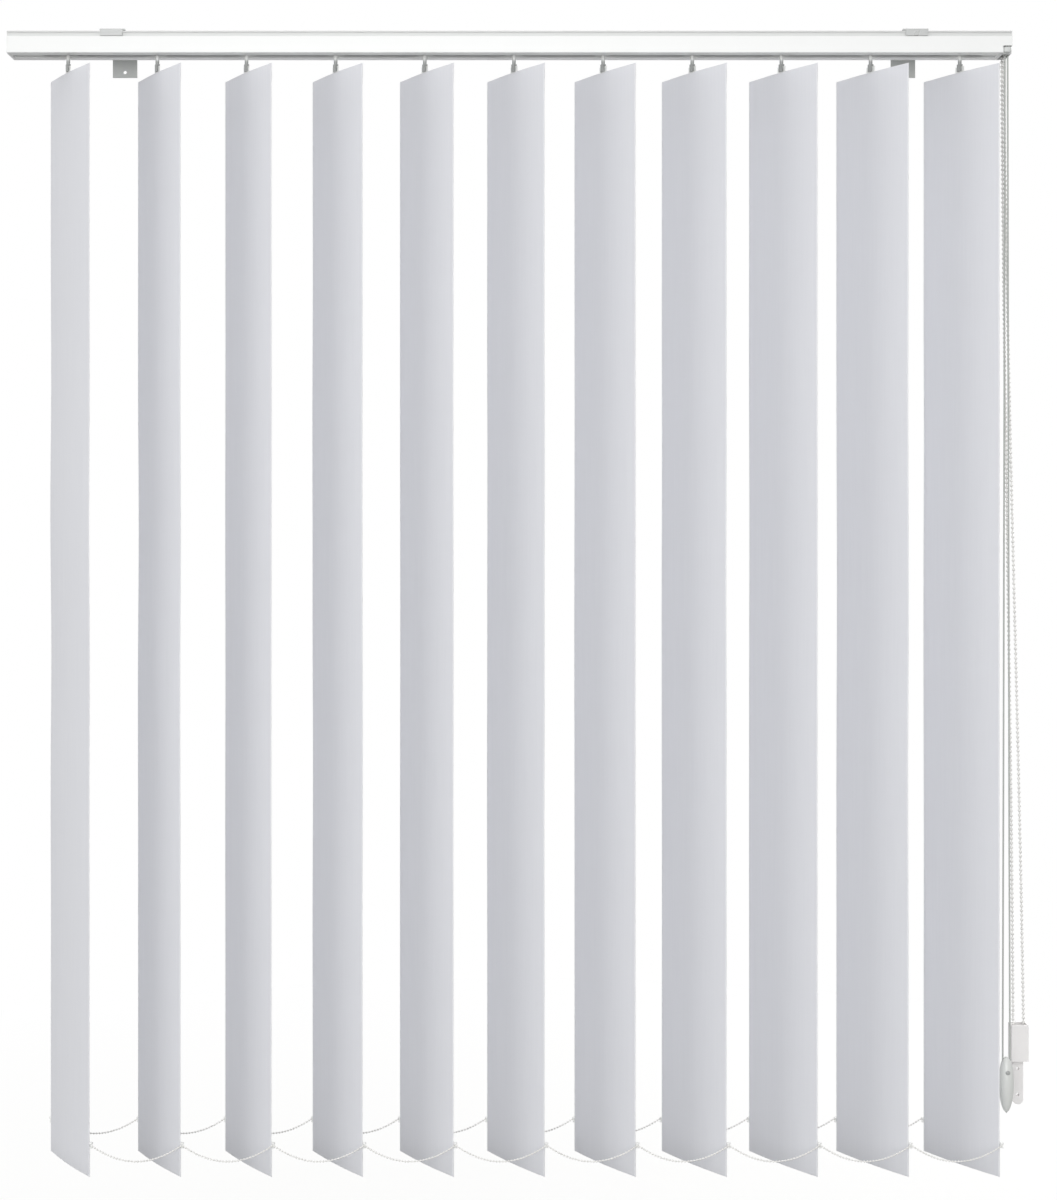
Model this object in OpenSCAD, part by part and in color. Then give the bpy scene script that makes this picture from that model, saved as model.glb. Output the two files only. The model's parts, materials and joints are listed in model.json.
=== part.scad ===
// Vertical blind. Fabric vanes hang on toothed hooks under a headrail. A bead chain turns the tilt rod,
// whose worms turn the hooks. A looped cord draws the carriers along the rail, and two bead chains tie
// the vane bottoms together.
// X runs along the rail, Y points to the wall, Z is up. The origin is the centre of the wall screws.

/* [Vanes] */
// Number of vanes
vane_count = 11; // [6:1:11]
// Width of a vane, edge to edge
vane_w = 127; // [110:1:129]
// Distance from hook to hook along the rail
vane_pitch = 114; // [104:1:120]
// Length of a vane from its top fold to its bottom fold
vane_len = 1396; // [700:1:1800]
// Depth of the vane's shallow curve
vane_bow = 3; // [1.5:0.5:4]
// Angle between the rail and the vanes at rest
vane_angle = 55; // [25:1:150]
// Gap from the rail's underside to the vane tops
vane_drop = 20.3; // [18:0.1:40]
// Thickness of the fabric
fabric_t = 0.5; // [0.3:0.05:0.8]
// Height of a weld line in the fabric
weld_h = 2.5; // [1.5:0.5:4]

/* [Vane fittings] */
// Thickness of the hanger and of the bottom weight
plate_t = 1; // [0.8:0.1:1.4]
// Width of the hanger in the top pocket
hanger_w = 100; // [60:1:106]
// Height of the hanger in the top pocket
hanger_h = 20; // [16:1:30]
// Width of the hanger's eye tab
eye_w = 14; // [11:0.5:20]
// Width of the bottom weight
weight_w = 121; // [90:1:124]
// Height of the bottom weight
weight_h = 44; // [30:1:60]
// Reach of a chain clip past the vane's edge
clip_reach = 3; // [2.8:0.1:4]

/* [Headrail] */
// Depth of the headrail, front to back
rail_depth = 40; // [39:0.5:46]
// Height of the headrail
rail_height = 28; // [27:0.5:34]
// Wall of the headrail
rail_wall = 1.6; // [1.2:0.1:2]
// Width of the slot under the rail
slot_w = 13; // [10:0.5:15]
// Height of the clip groove band
band_h = 7; // [6:0.5:8]
// Inset of the clip groove band
band_inset = 2.2; // [1.8:0.1:2.6]
// Rail end beyond the first hook
left_overhang = 74; // [70:1:100]
// Rail end beyond the last hook
right_overhang = 62.4; // [60:0.2:90]

/* [Carriers] */
// Length of a carrier along the rail
carrier_len = 20; // [18:0.5:21]
// Diameter of a carrier wheel
wheel_d = 7; // [6:0.5:8]
// Width of a carrier wheel
wheel_w = 3; // [2:0.5:3.5]
// Diameter of the tilt rod
rod_d = 4.6; // [4:0.1:5]
// Core diameter of a worm
worm_d = 7; // [6.6:0.1:7.4]
// Teeth on a hook's wheel
gear_teeth = 12; // [10:1:14]
// Tip diameter of a hook's wheel
gear_d = 10.4; // [10:0.1:11]
// Diameter of a hook's stem
stem_d = 4.8; // [4:0.1:5.4]
// Thickness of a spacer strip
strip_t = 0.5; // [0.4:0.05:0.6]

/* [Brackets] */
// Distance from the hooks to the wall
wall_gap = 70; // [68:1:120]
// Distance of each bracket from its end of the rail
bracket_inset = 127.2; // [60:0.2:300]
// Width of a bracket
bracket_w = 32; // [24:1:50]
// Thickness of a bracket's sheet
bracket_t = 2; // [1.5:0.1:3]
// Height between a bracket's two wall holes
hole_spacing = 22; // [16:1:40]
// Diameter of a wall hole
hole_d = 4.5; // [3:0.1:6]
// Width of a rail clip
clip_w = 28; // [16:1:32]
// Thickness of a rail clip's base
clip_t = 2; // [1.5:0.1:3]

/* [Tilt chain] */
// Spacing of the beads
bead_pitch = 6; // [5:0.1:6.2]
// Beads around the sprocket
sprocket_beads = 6; // [6:1:8]
// Diameter of the chain as a plain run
chain_d = 3.2; // [2.4:0.1:3.6]
// Width of the tensioner
tensioner_w = 22; // [21:0.5:30]
// Height of the tensioner
tensioner_h = 107; // [100:1:140]
// Depth of the tensioner off the wall
tensioner_d = 19; // [16:0.5:24]
// Distance of the tensioner from the rail's end
tensioner_out = 28.2; // [26:0.2:60]
// Height of the tensioner's foot above the vane bottoms
tensioner_rise = 58; // [0:1:400]

/* [Traverse cord] */
// Diameter of the cord
cord_d = 2.2; // [1.6:0.1:2.4]
// Diameter of the cord weight
bulb_d = 19; // [16:0.5:20]
// Height of the cord weight
bulb_h = 73; // [60:1:90]
// Height of the cord weight's foot above the vane bottoms
bulb_rise = 67; // [60:1:400]

/* [Bottom chain] */
// Diameter of the bottom chain
bottom_chain_d = 2.6; // [2:0.1:2.8]
// Sag of the bottom chain between two vanes
chain_sag = 19; // [6:0.5:30]

/* [Hidden] */
function numbered(stem) = [for (i = [1:vane_count]) str(stem, "_", i < 10 ? "0" : "", i)];

// Finishes
rail_white = "#F3F4F3";
plastic_white = "#ECEDEB";
fabric_grey = "#D0D1D6";
clear_grey = "#C9CAC8";
bracket_grey = "#B4B5B3";
bare_aluminium = "#B9BCC0";
cord_grey = "#C6C9C6";

// Fits: a running fit on a shaft, a loose fit between moulded faces, a slide-in fit for flat pieces
run_fit = 0.05;
loose_fit = 0.3;
slide_fit = 0.1;
// Overlap that joins the features of one moulding
merge = 0.4;
$fn = 48;
// The shallow vane curve needs fine steps
bow_fn = 720;

// Heights, from the wall screws
hole_top = 14;
hole_edge = 7;
arm_top = hole_spacing / 2 + hole_top;
arm_z = arm_top - bracket_t;
leg_bottom = -hole_spacing / 2 - hole_edge;
rail_top = arm_z - clip_t;
rail_bottom = rail_top - rail_height;
vane_top_z = rail_bottom - vane_drop;
vane_bottom_z = vane_top_z - vane_len;

// Rail ends and what closes them
function hook_x(i) = (i - (vane_count + 1) / 2) * vane_pitch;
rail_left = hook_x(1) - left_overhang;
rail_right = hook_x(vane_count) + right_overhang;
return_flange = 4;
control_len = 16;
rail_x0 = rail_left + return_flange;
rail_x1 = rail_right - control_len;
plug_len = 16;
insert_len = 38;
cap_wall = 1.2;
bracket_x = (rail_right - rail_left) / 2 - bracket_inset;

// Rail section, seen from its end with the slot at the bottom
lip_out = 1.2;
lip_h = 1.5;
rib_t = 1.2;
rib_h = 1;
corner_r = 1;
groove_half = rail_depth / 2 - band_inset;
lip_half = groove_half + lip_out;
shelf_z = rail_height - band_h - rail_wall;

// Carrier levels above the rail's underside, and widths from the hook's axis
plate_gap = 0.4;
carrier_plate_z = rail_wall + rib_h + plate_gap;
carrier_plate_t = 4;
carrier_plate_top = carrier_plate_z + carrier_plate_t;
gear_t = 6;
gear_clear = 2;
gear_z = carrier_plate_top + gear_clear;
carrier_top_z = gear_z + gear_t + gear_clear;
carrier_top_t = 2;
rod_z = gear_z + gear_t / 2;
rod_y = gear_d / 2 + worm_d / 2 + loose_fit;
wheel_side_gap = 2.9;
wheel_out = rail_depth / 2 - rail_wall - wheel_side_gap;
wheel_in = wheel_out - wheel_w;
wheel_gap = 0.2;
wheel_z = rail_wall + wheel_gap + wheel_d / 2;
axle_d = 2.4;
axle_x = carrier_len / 2 - wheel_d / 2 - 0.5;
carrier_half = wheel_in - 0.5;
wall_front = gear_d / 2 + 0.8;
end_wall = 2.5;
journal_d = worm_d - 1.2;
boss_d = journal_d + 2.8;
worm_len = carrier_len - 2 * end_wall - 2 * wheel_gap;
key_d = 1.2;
key_count = 3;

// Spacer strips run side by side, so that each clears the others when the carriers are stacked
strip_lanes = 6;
strip_step = strip_t + loose_fit;
strip_h = 5;
strip_past = 6;
strip_tab = 3;
strip_foot = 1.5;
strip_z = carrier_plate_top + 2;
function strip_y(i) = -(wall_front + 0.95 + strip_step * (i % strip_lanes)) - strip_t;

// Hook: wheel, stem and the fork that takes the hanger's eye
gear_depth = 1.4;
gear_root_d = gear_d - 2 * gear_depth;
tooth_root_w = 1.6;
tooth_tip_w = 0.7;
pin_d = 3;
collar_d = 6.4;
peg_d = 3.6;
eye_rise = 7;
peg_rise = 3.2;
fork_w = 6;
prong_t = 1.4;
prong_gap = plate_t / 2 + loose_fit;
bridge_h = 2.5;

// Vane section: the hanger and the weight lie on the vane's radius, with a layer of fabric on each side
vane_r = vane_w * vane_w / (8 * vane_bow);
front_r0 = vane_r + plate_t / 2 + slide_fit;
front_r1 = front_r0 + fabric_t;
back_r1 = vane_r - plate_t / 2 - slide_fit;
back_r0 = back_r1 - fabric_t;
pocket_gap = 0.3;
hem_h = fabric_t + weight_h + 2 * pocket_gap + weld_h;
top_pocket_h = fabric_t + hanger_h + 2 * pocket_gap + weld_h;
eye_slit = eye_w + 2;

// Chain clips on the ends of a bottom weight
clip_u = vane_w / 2 + clip_reach;
clip_v = vane_r - sqrt(vane_r * vane_r - clip_u * clip_u);
neck_h = 2;
neck_z = fabric_t + pocket_gap + weight_h - neck_h - 1;
spool_d = 4.4;
waist_d = 2.2;
waist_h = 3.6;
foot_h = 1.2;
foot_d = 4;
chain_gap = 0.9;
chain_start = foot_d / 2 + chain_gap;
chain_clip_z = vane_bottom_z + neck_z - waist_h / 2;

// Traverse cord lanes, in the rail frame
lane_y = 13;
lane_z = rail_height - rail_wall - 3.4;
clamp_len = 8;
clamp_wall = 1.2;
clamp_half = cord_d / 2 + slide_fit * 2 + clamp_wall;
pulley_inset = 20;
pulley_x = rail_x0 + pulley_inset;
pulley_t = 5;
pulley_rim = 1.5;
pulley_axle_d = 4;
cord_x = rail_right - 4.4;
cord_y = -6;
strand_half = 1.75;
bulb_bottom = vane_bottom_z + bulb_rise;
bulb_top = bulb_bottom + bulb_h;
bulb_pin_drop = 20;
bulb_pin_z = bulb_top - bulb_pin_drop;
bulb_pin_d = 6.6;
bulb_loop_r = bulb_pin_d / 2 + 0.2 + cord_d / 2;

// Tilt chain: around the sprocket, down two strands, and under the tensioner's saddle
sprocket_r = bead_pitch * sprocket_beads / (2 * PI);
sprocket_w = 7;
sprocket_x = rail_right - cap_wall - loose_fit - sprocket_w / 2;
sprocket_floor_r = sprocket_r - chain_d / 2 - 0.45;
sprocket_flange_r = sprocket_r + 0.8;
bead_pocket_d = 4.6;
tensioner_x = rail_right + tensioner_out;
tensioner_z0 = vane_bottom_z + tensioner_rise;
tensioner_z1 = tensioner_z0 + tensioner_h;
tensioner_box_h = 48;
tensioner_wall = 1.2;
tensioner_back = 2.5;
tongue_w = 14;
tongue_d = 7;
tongue_hole_d = 4.2;
tongue_hole_spacing = 34;
tongue_hole_up = 13;
saddle_r = 7;
saddle_drop = 32;
saddle_z = tensioner_z1 - saddle_drop;
saddle_d = 2 * (saddle_r - chain_d / 2 - loose_fit) - 1.2;
chain_y = -(tensioner_back + tensioner_d - tensioner_wall) / 2;
drift_power = 1.6;
chain_joint = 0.55;
chain_joint_gap = 0.01;
strand_steps = 12;
turn_step = 22.5;

// Places
module in_rail() {
    translate([0, -wall_gap, rail_bottom]) children();
}

module at_hook(i) {
    translate([hook_x(i), -wall_gap, rail_bottom]) children();
}

module at_vane(i) {
    translate([hook_x(i), -wall_gap, vane_bottom_z]) rotate(-vane_angle) children();
}

// Draws a section of the rail, given as depth and height, out along X
module along_x(x, length) {
    translate([x, 0, 0]) rotate([90, 0, 90]) linear_extrude(length) children();
}

module rod_x(x, length, d) {
    translate([x, 0, 0]) rotate([0, 90, 0]) cylinder(d = d, h = length);
}

// A round tube along a path, as one closed surface
function unit(v) = v / norm(v);
function tangent(path, i) =
    unit(path[min(i + 1, len(path) - 1)] - path[max(i - 1, 0)]);
function carried(n, t) = unit(n - (n * t) * t);
function normals(path, side) = [
    for (i = 0, n = carried(side, tangent(path, 0));
        i < len(path);
        i = i + 1, n = carried(n, tangent(path, min(i, len(path) - 1))))
    n
];

module tube(path, d, sides, side) {
    across = normals(path, side);
    last = len(path) - 1;
    points = [
        for (i = [0:last], k = [0:sides - 1])
        let (t = tangent(path, i), a = 360 * k / sides)
        path[i] + d / 2 * (cos(a) * across[i] + sin(a) * cross(t, across[i]))
    ];
    walls = [
        for (i = [0:last - 1], k = [0:sides - 1])
        let (a = i * sides, b = a + sides, next = (k + 1) % sides)
        [a + k, b + k, b + next, a + next]
    ];
    start_cap = [for (k = [0:sides - 1]) k];
    end_cap = [for (k = [sides - 1:-1:0]) last * sides + k];
    polyhedron(points, concat([start_cap], walls, [end_cap]), convexity = 8);
}

// Headrail
module rail_outline() {
    body_h = rail_height - band_h;
    translate([-rail_depth / 2, corner_r]) square([rail_depth, body_h - corner_r]);
    translate([-rail_depth / 2 + corner_r, 0]) square([rail_depth - 2 * corner_r, 2 * corner_r]);
    for (side = [-1, 1])
        translate([side * (rail_depth / 2 - corner_r), corner_r]) circle(corner_r);
    translate([-groove_half, body_h - merge]) square([2 * groove_half, band_h + merge]);
    translate([-lip_half, rail_height - lip_h]) square([2 * lip_half, lip_h]);
}

module rail_hollow(wall) {
    lower = rail_depth / 2 - wall;
    upper = groove_half - wall;
    translate([-lower, wall]) square([2 * lower, rail_height - band_h - 2 * wall]);
    translate([-upper, wall]) square([2 * upper, rail_height - 2 * wall]);
}

module rail_section() {
    difference() {
        rail_outline();
        rail_hollow(rail_wall);
        translate([-slot_w / 2, -merge]) square([slot_w, rail_wall + 2 * merge]);
    }
    for (side = [-1, 1])
        translate([side * (slot_w + rib_t) / 2 - rib_t / 2, rail_wall - merge])
            square([rib_t, rib_h + merge]);
}

module headrail() {
    color(rail_white) in_rail() along_x(rail_x0, rail_x1 - rail_x0) rail_section();
}

// What slides into the rail's lower hollow, clear of the slot ribs and of the cord lanes above
module plug_section() {
    half = rail_depth / 2 - rail_wall - slide_fit;
    floor_z = rail_wall + rib_h + slide_fit;
    translate([-half, floor_z]) square([2 * half, shelf_z - slide_fit - floor_z]);
}

module control_end_cap() {
    chamber_x = rail_x1 + cap_wall;
    chamber_len = control_len - 2 * cap_wall;
    mouth_y = rail_depth / 2 - cap_wall;
    window_len = 11.4;
    window_h = 9;
    window_depth = 5;
    lane_half = lane_y + 3;
    color(rail_white) in_rail() difference() {
        union() {
            along_x(rail_x1, control_len) rail_outline();
            along_x(rail_x1 - plug_len, plug_len + merge) plug_section();
        }
        along_x(chamber_x, chamber_len) rail_hollow(cap_wall);
        translate([chamber_x + 4, cord_y - 4, -merge])
            cube([chamber_len - 4, mouth_y - cord_y + 4, cap_wall + 2 * merge]);
        translate([rail_right - window_len, -rail_depth / 2 - merge, -merge])
            cube([window_len + merge, window_depth, window_h + merge]);
        translate([rail_x1 - merge, -lane_half, lane_z - 2.6])
            cube([cap_wall + 2 * merge, 2 * lane_half, 5.2]);
        translate([0, rod_y, rod_z])
            rod_x(rail_x1 - plug_len - merge, plug_len + 2 * cap_wall, rod_d + 2 * run_fit);
    }
}

module return_end_cap() {
    bearing_len = 11;
    color(rail_white) in_rail() {
        difference() {
            union() {
                along_x(rail_left, return_flange) rail_outline();
                along_x(rail_x0 - merge, insert_len + merge) plug_section();
            }
            translate([0, rod_y, rod_z])
                rod_x(rail_x0 + insert_len - bearing_len, bearing_len + merge, rod_d + 2 * run_fit);
        }
        translate([pulley_x, 0, shelf_z - slide_fit - merge])
            cylinder(d = pulley_axle_d, h = lane_z + pulley_t / 2 - shelf_z + slide_fit + merge);
    }
}

module return_pulley() {
    rim_r = lane_y + pulley_rim;
    floor_r = lane_y - cord_d / 2 - 0.2;
    half = pulley_t / 2;
    throat = cord_d / 2 + 0.4;
    bore_r = pulley_axle_d / 2 + run_fit;
    color(plastic_white) in_rail() translate([pulley_x, 0, lane_z])
        rotate_extrude()
            polygon([
                [bore_r, -half], [rim_r, -half], [rim_r, -throat - 0.4], [floor_r, -throat],
                [floor_r, throat], [rim_r, throat + 0.4], [rim_r, half], [bore_r, half]
            ]);
}

// Brackets and what fastens the rail to them
arm_reach = wall_gap + 14;
bend_r = 5;
screw_d = 4;
screw_head_d = 8;
screw_head_h = 2.4;
screw_fit = 0.2;
adjust_len = 12;

module bracket_profile() {
    translate([-bracket_t, leg_bottom]) square([bracket_t, arm_top - bend_r - leg_bottom]);
    translate([-arm_reach, arm_z]) square([arm_reach - bend_r, bracket_t]);
    translate([-bend_r, arm_top - bend_r]) intersection() {
        difference() {
            circle(bend_r);
            circle(bend_r - bracket_t);
        }
        square(bend_r);
    }
}

module wall_bracket(side) {
    slot_d = screw_d + 2 * screw_fit;
    color(bracket_grey) translate([side * bracket_x, 0, 0]) difference() {
        along_x(-bracket_w / 2, bracket_w) bracket_profile();
        for (z = [-1, 1] * hole_spacing / 2)
            translate([0, merge, z]) rotate([90, 0, 0]) cylinder(d = hole_d, h = bracket_t + 2 * merge);
        for (y = [-1, 1] * adjust_len / 2)
            translate([0, y - wall_gap, arm_z - merge]) cylinder(d = slot_d, h = bracket_t + 2 * merge);
        translate([-slot_d / 2, -adjust_len / 2 - wall_gap, arm_z - merge])
            cube([slot_d, adjust_len, bracket_t + 2 * merge]);
    }
}

module clip_profile() {
    jaw_t = 1.4;
    half = lip_half + loose_fit + jaw_t;
    hook_top = rail_height - lip_h - loose_fit;
    hook_h = 1.2;
    translate([-half, rail_height]) square([2 * half, clip_t]);
    for (side = [0, 1]) mirror([side, 0]) {
        translate([-half, rail_height - band_h + 0.5]) square([jaw_t, band_h]);
        translate([-half, hook_top - hook_h]) square([half - groove_half - loose_fit, hook_h]);
    }
}

module rail_clips() {
    color(clear_grey) in_rail() for (side = [-1, 1])
        translate([side * bracket_x, 0, 0]) difference() {
            along_x(-clip_w / 2, clip_w) clip_profile();
            translate([0, 0, rail_height - merge])
                cylinder(d = screw_d + 2 * run_fit, h = clip_t + 2 * merge);
        }
}

module clip_screws() {
    tip_gap = 0.4;
    color(bare_aluminium) for (side = [-1, 1])
        translate([side * bracket_x, -wall_gap, 0]) {
            translate([0, 0, arm_top]) cylinder(d = screw_head_d, h = screw_head_h);
            translate([0, 0, rail_top + tip_gap])
                cylinder(d = screw_d, h = arm_top - rail_top - tip_gap + merge);
        }
}

// Tilt drive
module keyed_section(d, key) {
    difference() {
        circle(d = d);
        for (k = [1:key_count])
            rotate(360 * k / key_count) translate([rod_d / 2, 0]) circle(d = key);
    }
}

module tilt_rod() {
    bearing_gap = 0.5;
    start = rail_x0 + insert_len - 10;
    color(bare_aluminium) in_rail() translate([start, rod_y, rod_z])
        rotate([90, 0, 90])
            linear_extrude(sprocket_x + sprocket_w / 2 - bearing_gap - start) keyed_section(rod_d, key_d);
}

module chain_sprocket() {
    half = sprocket_w / 2;
    bore_r = rod_d / 2 + 0.02;
    floor_half = 1.4;
    color(plastic_white) in_rail() translate([sprocket_x, rod_y, rod_z]) rotate([0, 90, 0]) difference() {
        rotate_extrude()
            polygon([
                [bore_r, -half], [sprocket_flange_r, -half], [sprocket_flange_r, -half + 1],
                [sprocket_floor_r, -floor_half], [sprocket_floor_r, floor_half],
                [sprocket_flange_r, half - 1], [sprocket_flange_r, half], [bore_r, half]
            ]);
        for (k = [1:sprocket_beads])
            rotate(360 * k / sprocket_beads) translate([sprocket_r, 0, 0]) sphere(d = bead_pocket_d);
    }
}

// One strand from the sprocket (t = 0) to the saddle (t = 1); it leans out first and back later
function strand(front, t) =
    let (s = pow(t, drift_power), y0 = rod_y - wall_gap + front * sprocket_r)
    [
        sprocket_x + (tensioner_x - front * saddle_r - sprocket_x) * s,
        y0 + (chain_y - y0) * s * s,
        rail_bottom + rod_z + (saddle_z - rail_bottom - rod_z) * t
    ];
chain_route = concat(
    [for (k = [0:strand_steps]) strand(1, chain_joint * (1 - k / strand_steps))],
    [for (a = [turn_step:turn_step:180 - turn_step])
        [sprocket_x, rod_y - wall_gap + sprocket_r * cos(a), rail_bottom + rod_z + sprocket_r * sin(a)]],
    [for (k = [0:2 * strand_steps]) strand(-1, k / (2 * strand_steps))],
    [for (a = [turn_step:turn_step:180 - turn_step])
        [tensioner_x + saddle_r * cos(a), chain_y, saddle_z - saddle_r * sin(a)]],
    [for (k = [0:strand_steps])
        strand(1, 1 - (1 - chain_joint - chain_joint_gap) * k / strand_steps)]);

module bead_chain() {
    color(clear_grey) tube(chain_route, chain_d, 8, [1, 0, 0]);
}

module chain_tensioner() {
    inner_w = tensioner_w - 2 * tensioner_wall;
    box_z = tensioner_z1 - tensioner_box_h;
    color(plastic_white) translate([tensioner_x, 0, 0]) {
        difference() {
            union() {
                translate([-tensioner_w / 2, -tensioner_d, box_z])
                    cube([tensioner_w, tensioner_d, tensioner_box_h]);
                translate([-tongue_w / 2, -tongue_d, tensioner_z0 + tongue_w / 2])
                    cube([tongue_w, tongue_d, box_z - tensioner_z0 - tongue_w / 2 + merge]);
                translate([0, 0, tensioner_z0 + tongue_w / 2]) rotate([90, 0, 0])
                    cylinder(d = tongue_w, h = tongue_d);
            }
            translate([-inner_w / 2, -tensioner_d + tensioner_wall, box_z + tensioner_wall])
                cube([inner_w, tensioner_d - tensioner_wall - tensioner_back, tensioner_box_h]);
            for (k = [0, 1])
                translate([0, merge, tensioner_z0 + tongue_hole_up + k * tongue_hole_spacing])
                    rotate([90, 0, 0]) cylinder(d = tongue_hole_d, h = tongue_d + 2 * merge);
        }
        translate([0, -tensioner_back + merge, saddle_z]) rotate([90, 0, 0])
            cylinder(d = saddle_d, h = tensioner_d - tensioner_back - tensioner_wall + 2 * merge);
    }
}

// Traverse cord: front lane, cap, weight, cap, rear lane and return pulley, back to the lead carrier
clamp_x = hook_x(1);
cord_turn = 7;
cord_route = concat(
    [
        [clamp_x + 1, -lane_y, lane_z], [rail_x1 - 14, -lane_y, lane_z],
        [rail_x1 - 4, -12, lane_z], [rail_x1 + 3, -9, lane_z], [rail_x1 + 7, -7, lane_z - 2],
        [cord_x - strand_half, cord_y, lane_z - cord_turn],
        [cord_x - strand_half, cord_y, 0]
    ],
    [for (a = [0:turn_step:180])
        [cord_x - bulb_loop_r * cos(a), cord_y, bulb_pin_z - rail_bottom - bulb_loop_r * sin(a)]],
    [
        [cord_x + strand_half, cord_y, 0],
        [cord_x + strand_half, cord_y, lane_z - cord_turn],
        [cord_x - 1, cord_y + 1.5, lane_z - 1.5], [cord_x - 6, -0.5, lane_z],
        [rail_x1 + 2, 6, lane_z], [rail_x1 - 6, 11, lane_z], [rail_x1 - 16, lane_y, lane_z]
    ],
    [for (a = [0:turn_step:180]) [pulley_x - lane_y * sin(a), lane_y * cos(a), lane_z]],
    [[clamp_x - 1, -lane_y, lane_z]]);

module traverse_cord() {
    color(cord_grey) in_rail() tube(cord_route, cord_d, 8, [0, 1, 0]);
}

function bulb_radius(t) = bulb_d / 2 * pow(1 - pow(abs(2 * pow(t, 1.1) - 1), 2.2), 0.55);

module cord_weight() {
    steps = 20;
    cheek_gap = cord_d + 1;
    slot_half = bulb_loop_r + cord_d / 2 + 0.5;
    slot_bottom = bulb_pin_z - slot_half;
    color(plastic_white) translate([cord_x, cord_y - wall_gap, 0]) {
        difference() {
            translate([0, 0, bulb_bottom]) rotate_extrude()
                polygon(concat(
                    [for (k = [0:steps]) [bulb_radius(k / steps), bulb_h * k / steps]],
                    [[0, bulb_h], [0, 0]]));
            translate([-slot_half, -cheek_gap / 2, slot_bottom])
                cube([2 * slot_half, cheek_gap, bulb_top - slot_bottom + merge]);
        }
        translate([0, cheek_gap / 2 + merge, bulb_pin_z]) rotate([90, 0, 0])
            cylinder(d = bulb_pin_d, h = cheek_gap + 2 * merge);
    }
}

// Vane: a curved band of fabric, folded back into a pocket at each end
module arc_band(r0, r1, w) {
    translate([0, vane_r]) intersection() {
        difference() {
            circle(r1, $fn = bow_fn);
            circle(r0, $fn = bow_fn);
        }
        translate([-w / 2, -r1 - 1]) square([w, r1]);
    }
}

module band(z, h, r0, r1, w) {
    translate([0, 0, z]) linear_extrude(h) arc_band(r0, r1, w);
}

module vane_fabric() {
    difference() {
        union() {
            band(0, vane_len, front_r0, front_r1, vane_w);
            band(0, hem_h, back_r0, back_r1, vane_w);
            band(0, fabric_t, back_r0, front_r1, vane_w);
            band(hem_h - weld_h, weld_h, back_r0, front_r1, vane_w);
            band(vane_len - top_pocket_h, top_pocket_h, back_r0, back_r1, vane_w);
            band(vane_len - top_pocket_h, weld_h, back_r0, front_r1, vane_w);
            band(vane_len - fabric_t, fabric_t, back_r0, front_r1, vane_w);
        }
        translate([-eye_slit / 2, -plate_t / 2 - slide_fit, vane_len - fabric_t - merge])
            cube([eye_slit, plate_t + 2 * slide_fit, fabric_t + 2 * merge]);
    }
}

module hanger() {
    plate_top = vane_len - fabric_t - pocket_gap;
    difference() {
        union() {
            band(plate_top - hanger_h, hanger_h, vane_r - plate_t / 2, vane_r + plate_t / 2, hanger_w);
            band(plate_top - merge, vane_len + eye_rise - plate_top + merge,
                vane_r - plate_t / 2, vane_r + plate_t / 2, eye_w);
        }
        translate([0, plate_t, vane_len + peg_rise]) rotate([90, 0, 0])
            cylinder(d = peg_d + 2 * loose_fit, h = 2 * plate_t);
    }
}

module bottom_weight() {
    band(fabric_t + pocket_gap, weight_h, vane_r - plate_t / 2, vane_r + plate_t / 2, weight_w);
    band(neck_z, neck_h, vane_r - plate_t / 2, vane_r + plate_t / 2, 2 * clip_u);
    for (side = [-1, 1]) translate([side * clip_u, clip_v, neck_z]) {
        cylinder(d = spool_d, h = neck_h);
        translate([0, 0, -waist_h - merge]) cylinder(d = waist_d, h = waist_h + 2 * merge);
        translate([0, 0, -waist_h - foot_h]) cylinder(d = foot_d, h = foot_h);
    }
}

module vane(i) {
    at_vane(i) {
        color(fabric_grey) vane_fabric();
        color(plastic_white) hanger();
        color(plastic_white) bottom_weight();
    }
}

// Bottom chains hang in shallow curves from clip to clip
function clip_place(i, side) = [
    hook_x(i) + side * clip_u * cos(vane_angle) + clip_v * sin(vane_angle),
    -wall_gap - side * clip_u * sin(vane_angle) + clip_v * cos(vane_angle)
];
span_steps = 8;
function chain_span(i, side) = [
    for (k = [0:span_steps])
    let (
        along = chain_start + (vane_pitch - 2 * chain_start) * k / span_steps,
        f = along / vane_pitch,
        p = clip_place(i, side)
    )
    [p.x + along, p.y, chain_clip_z - 4 * chain_sag * f * (1 - f)]
];

module bottom_chain(side) {
    color(clear_grey) for (i = [1:vane_count - 1])
        tube(chain_span(i, side), bottom_chain_d, 6, [0, 1, 0]);
}

// Hook: a toothed wheel on a stem, with a fork and peg for the hanger
module gear_section() {
    circle(d = gear_root_d);
    for (k = [1:gear_teeth])
        rotate(360 * k / gear_teeth)
            polygon([
                [gear_root_d / 2 - merge, -tooth_root_w / 2], [gear_d / 2, -tooth_tip_w / 2],
                [gear_d / 2, tooth_tip_w / 2], [gear_root_d / 2 - merge, tooth_root_w / 2]
            ]);
}

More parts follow.
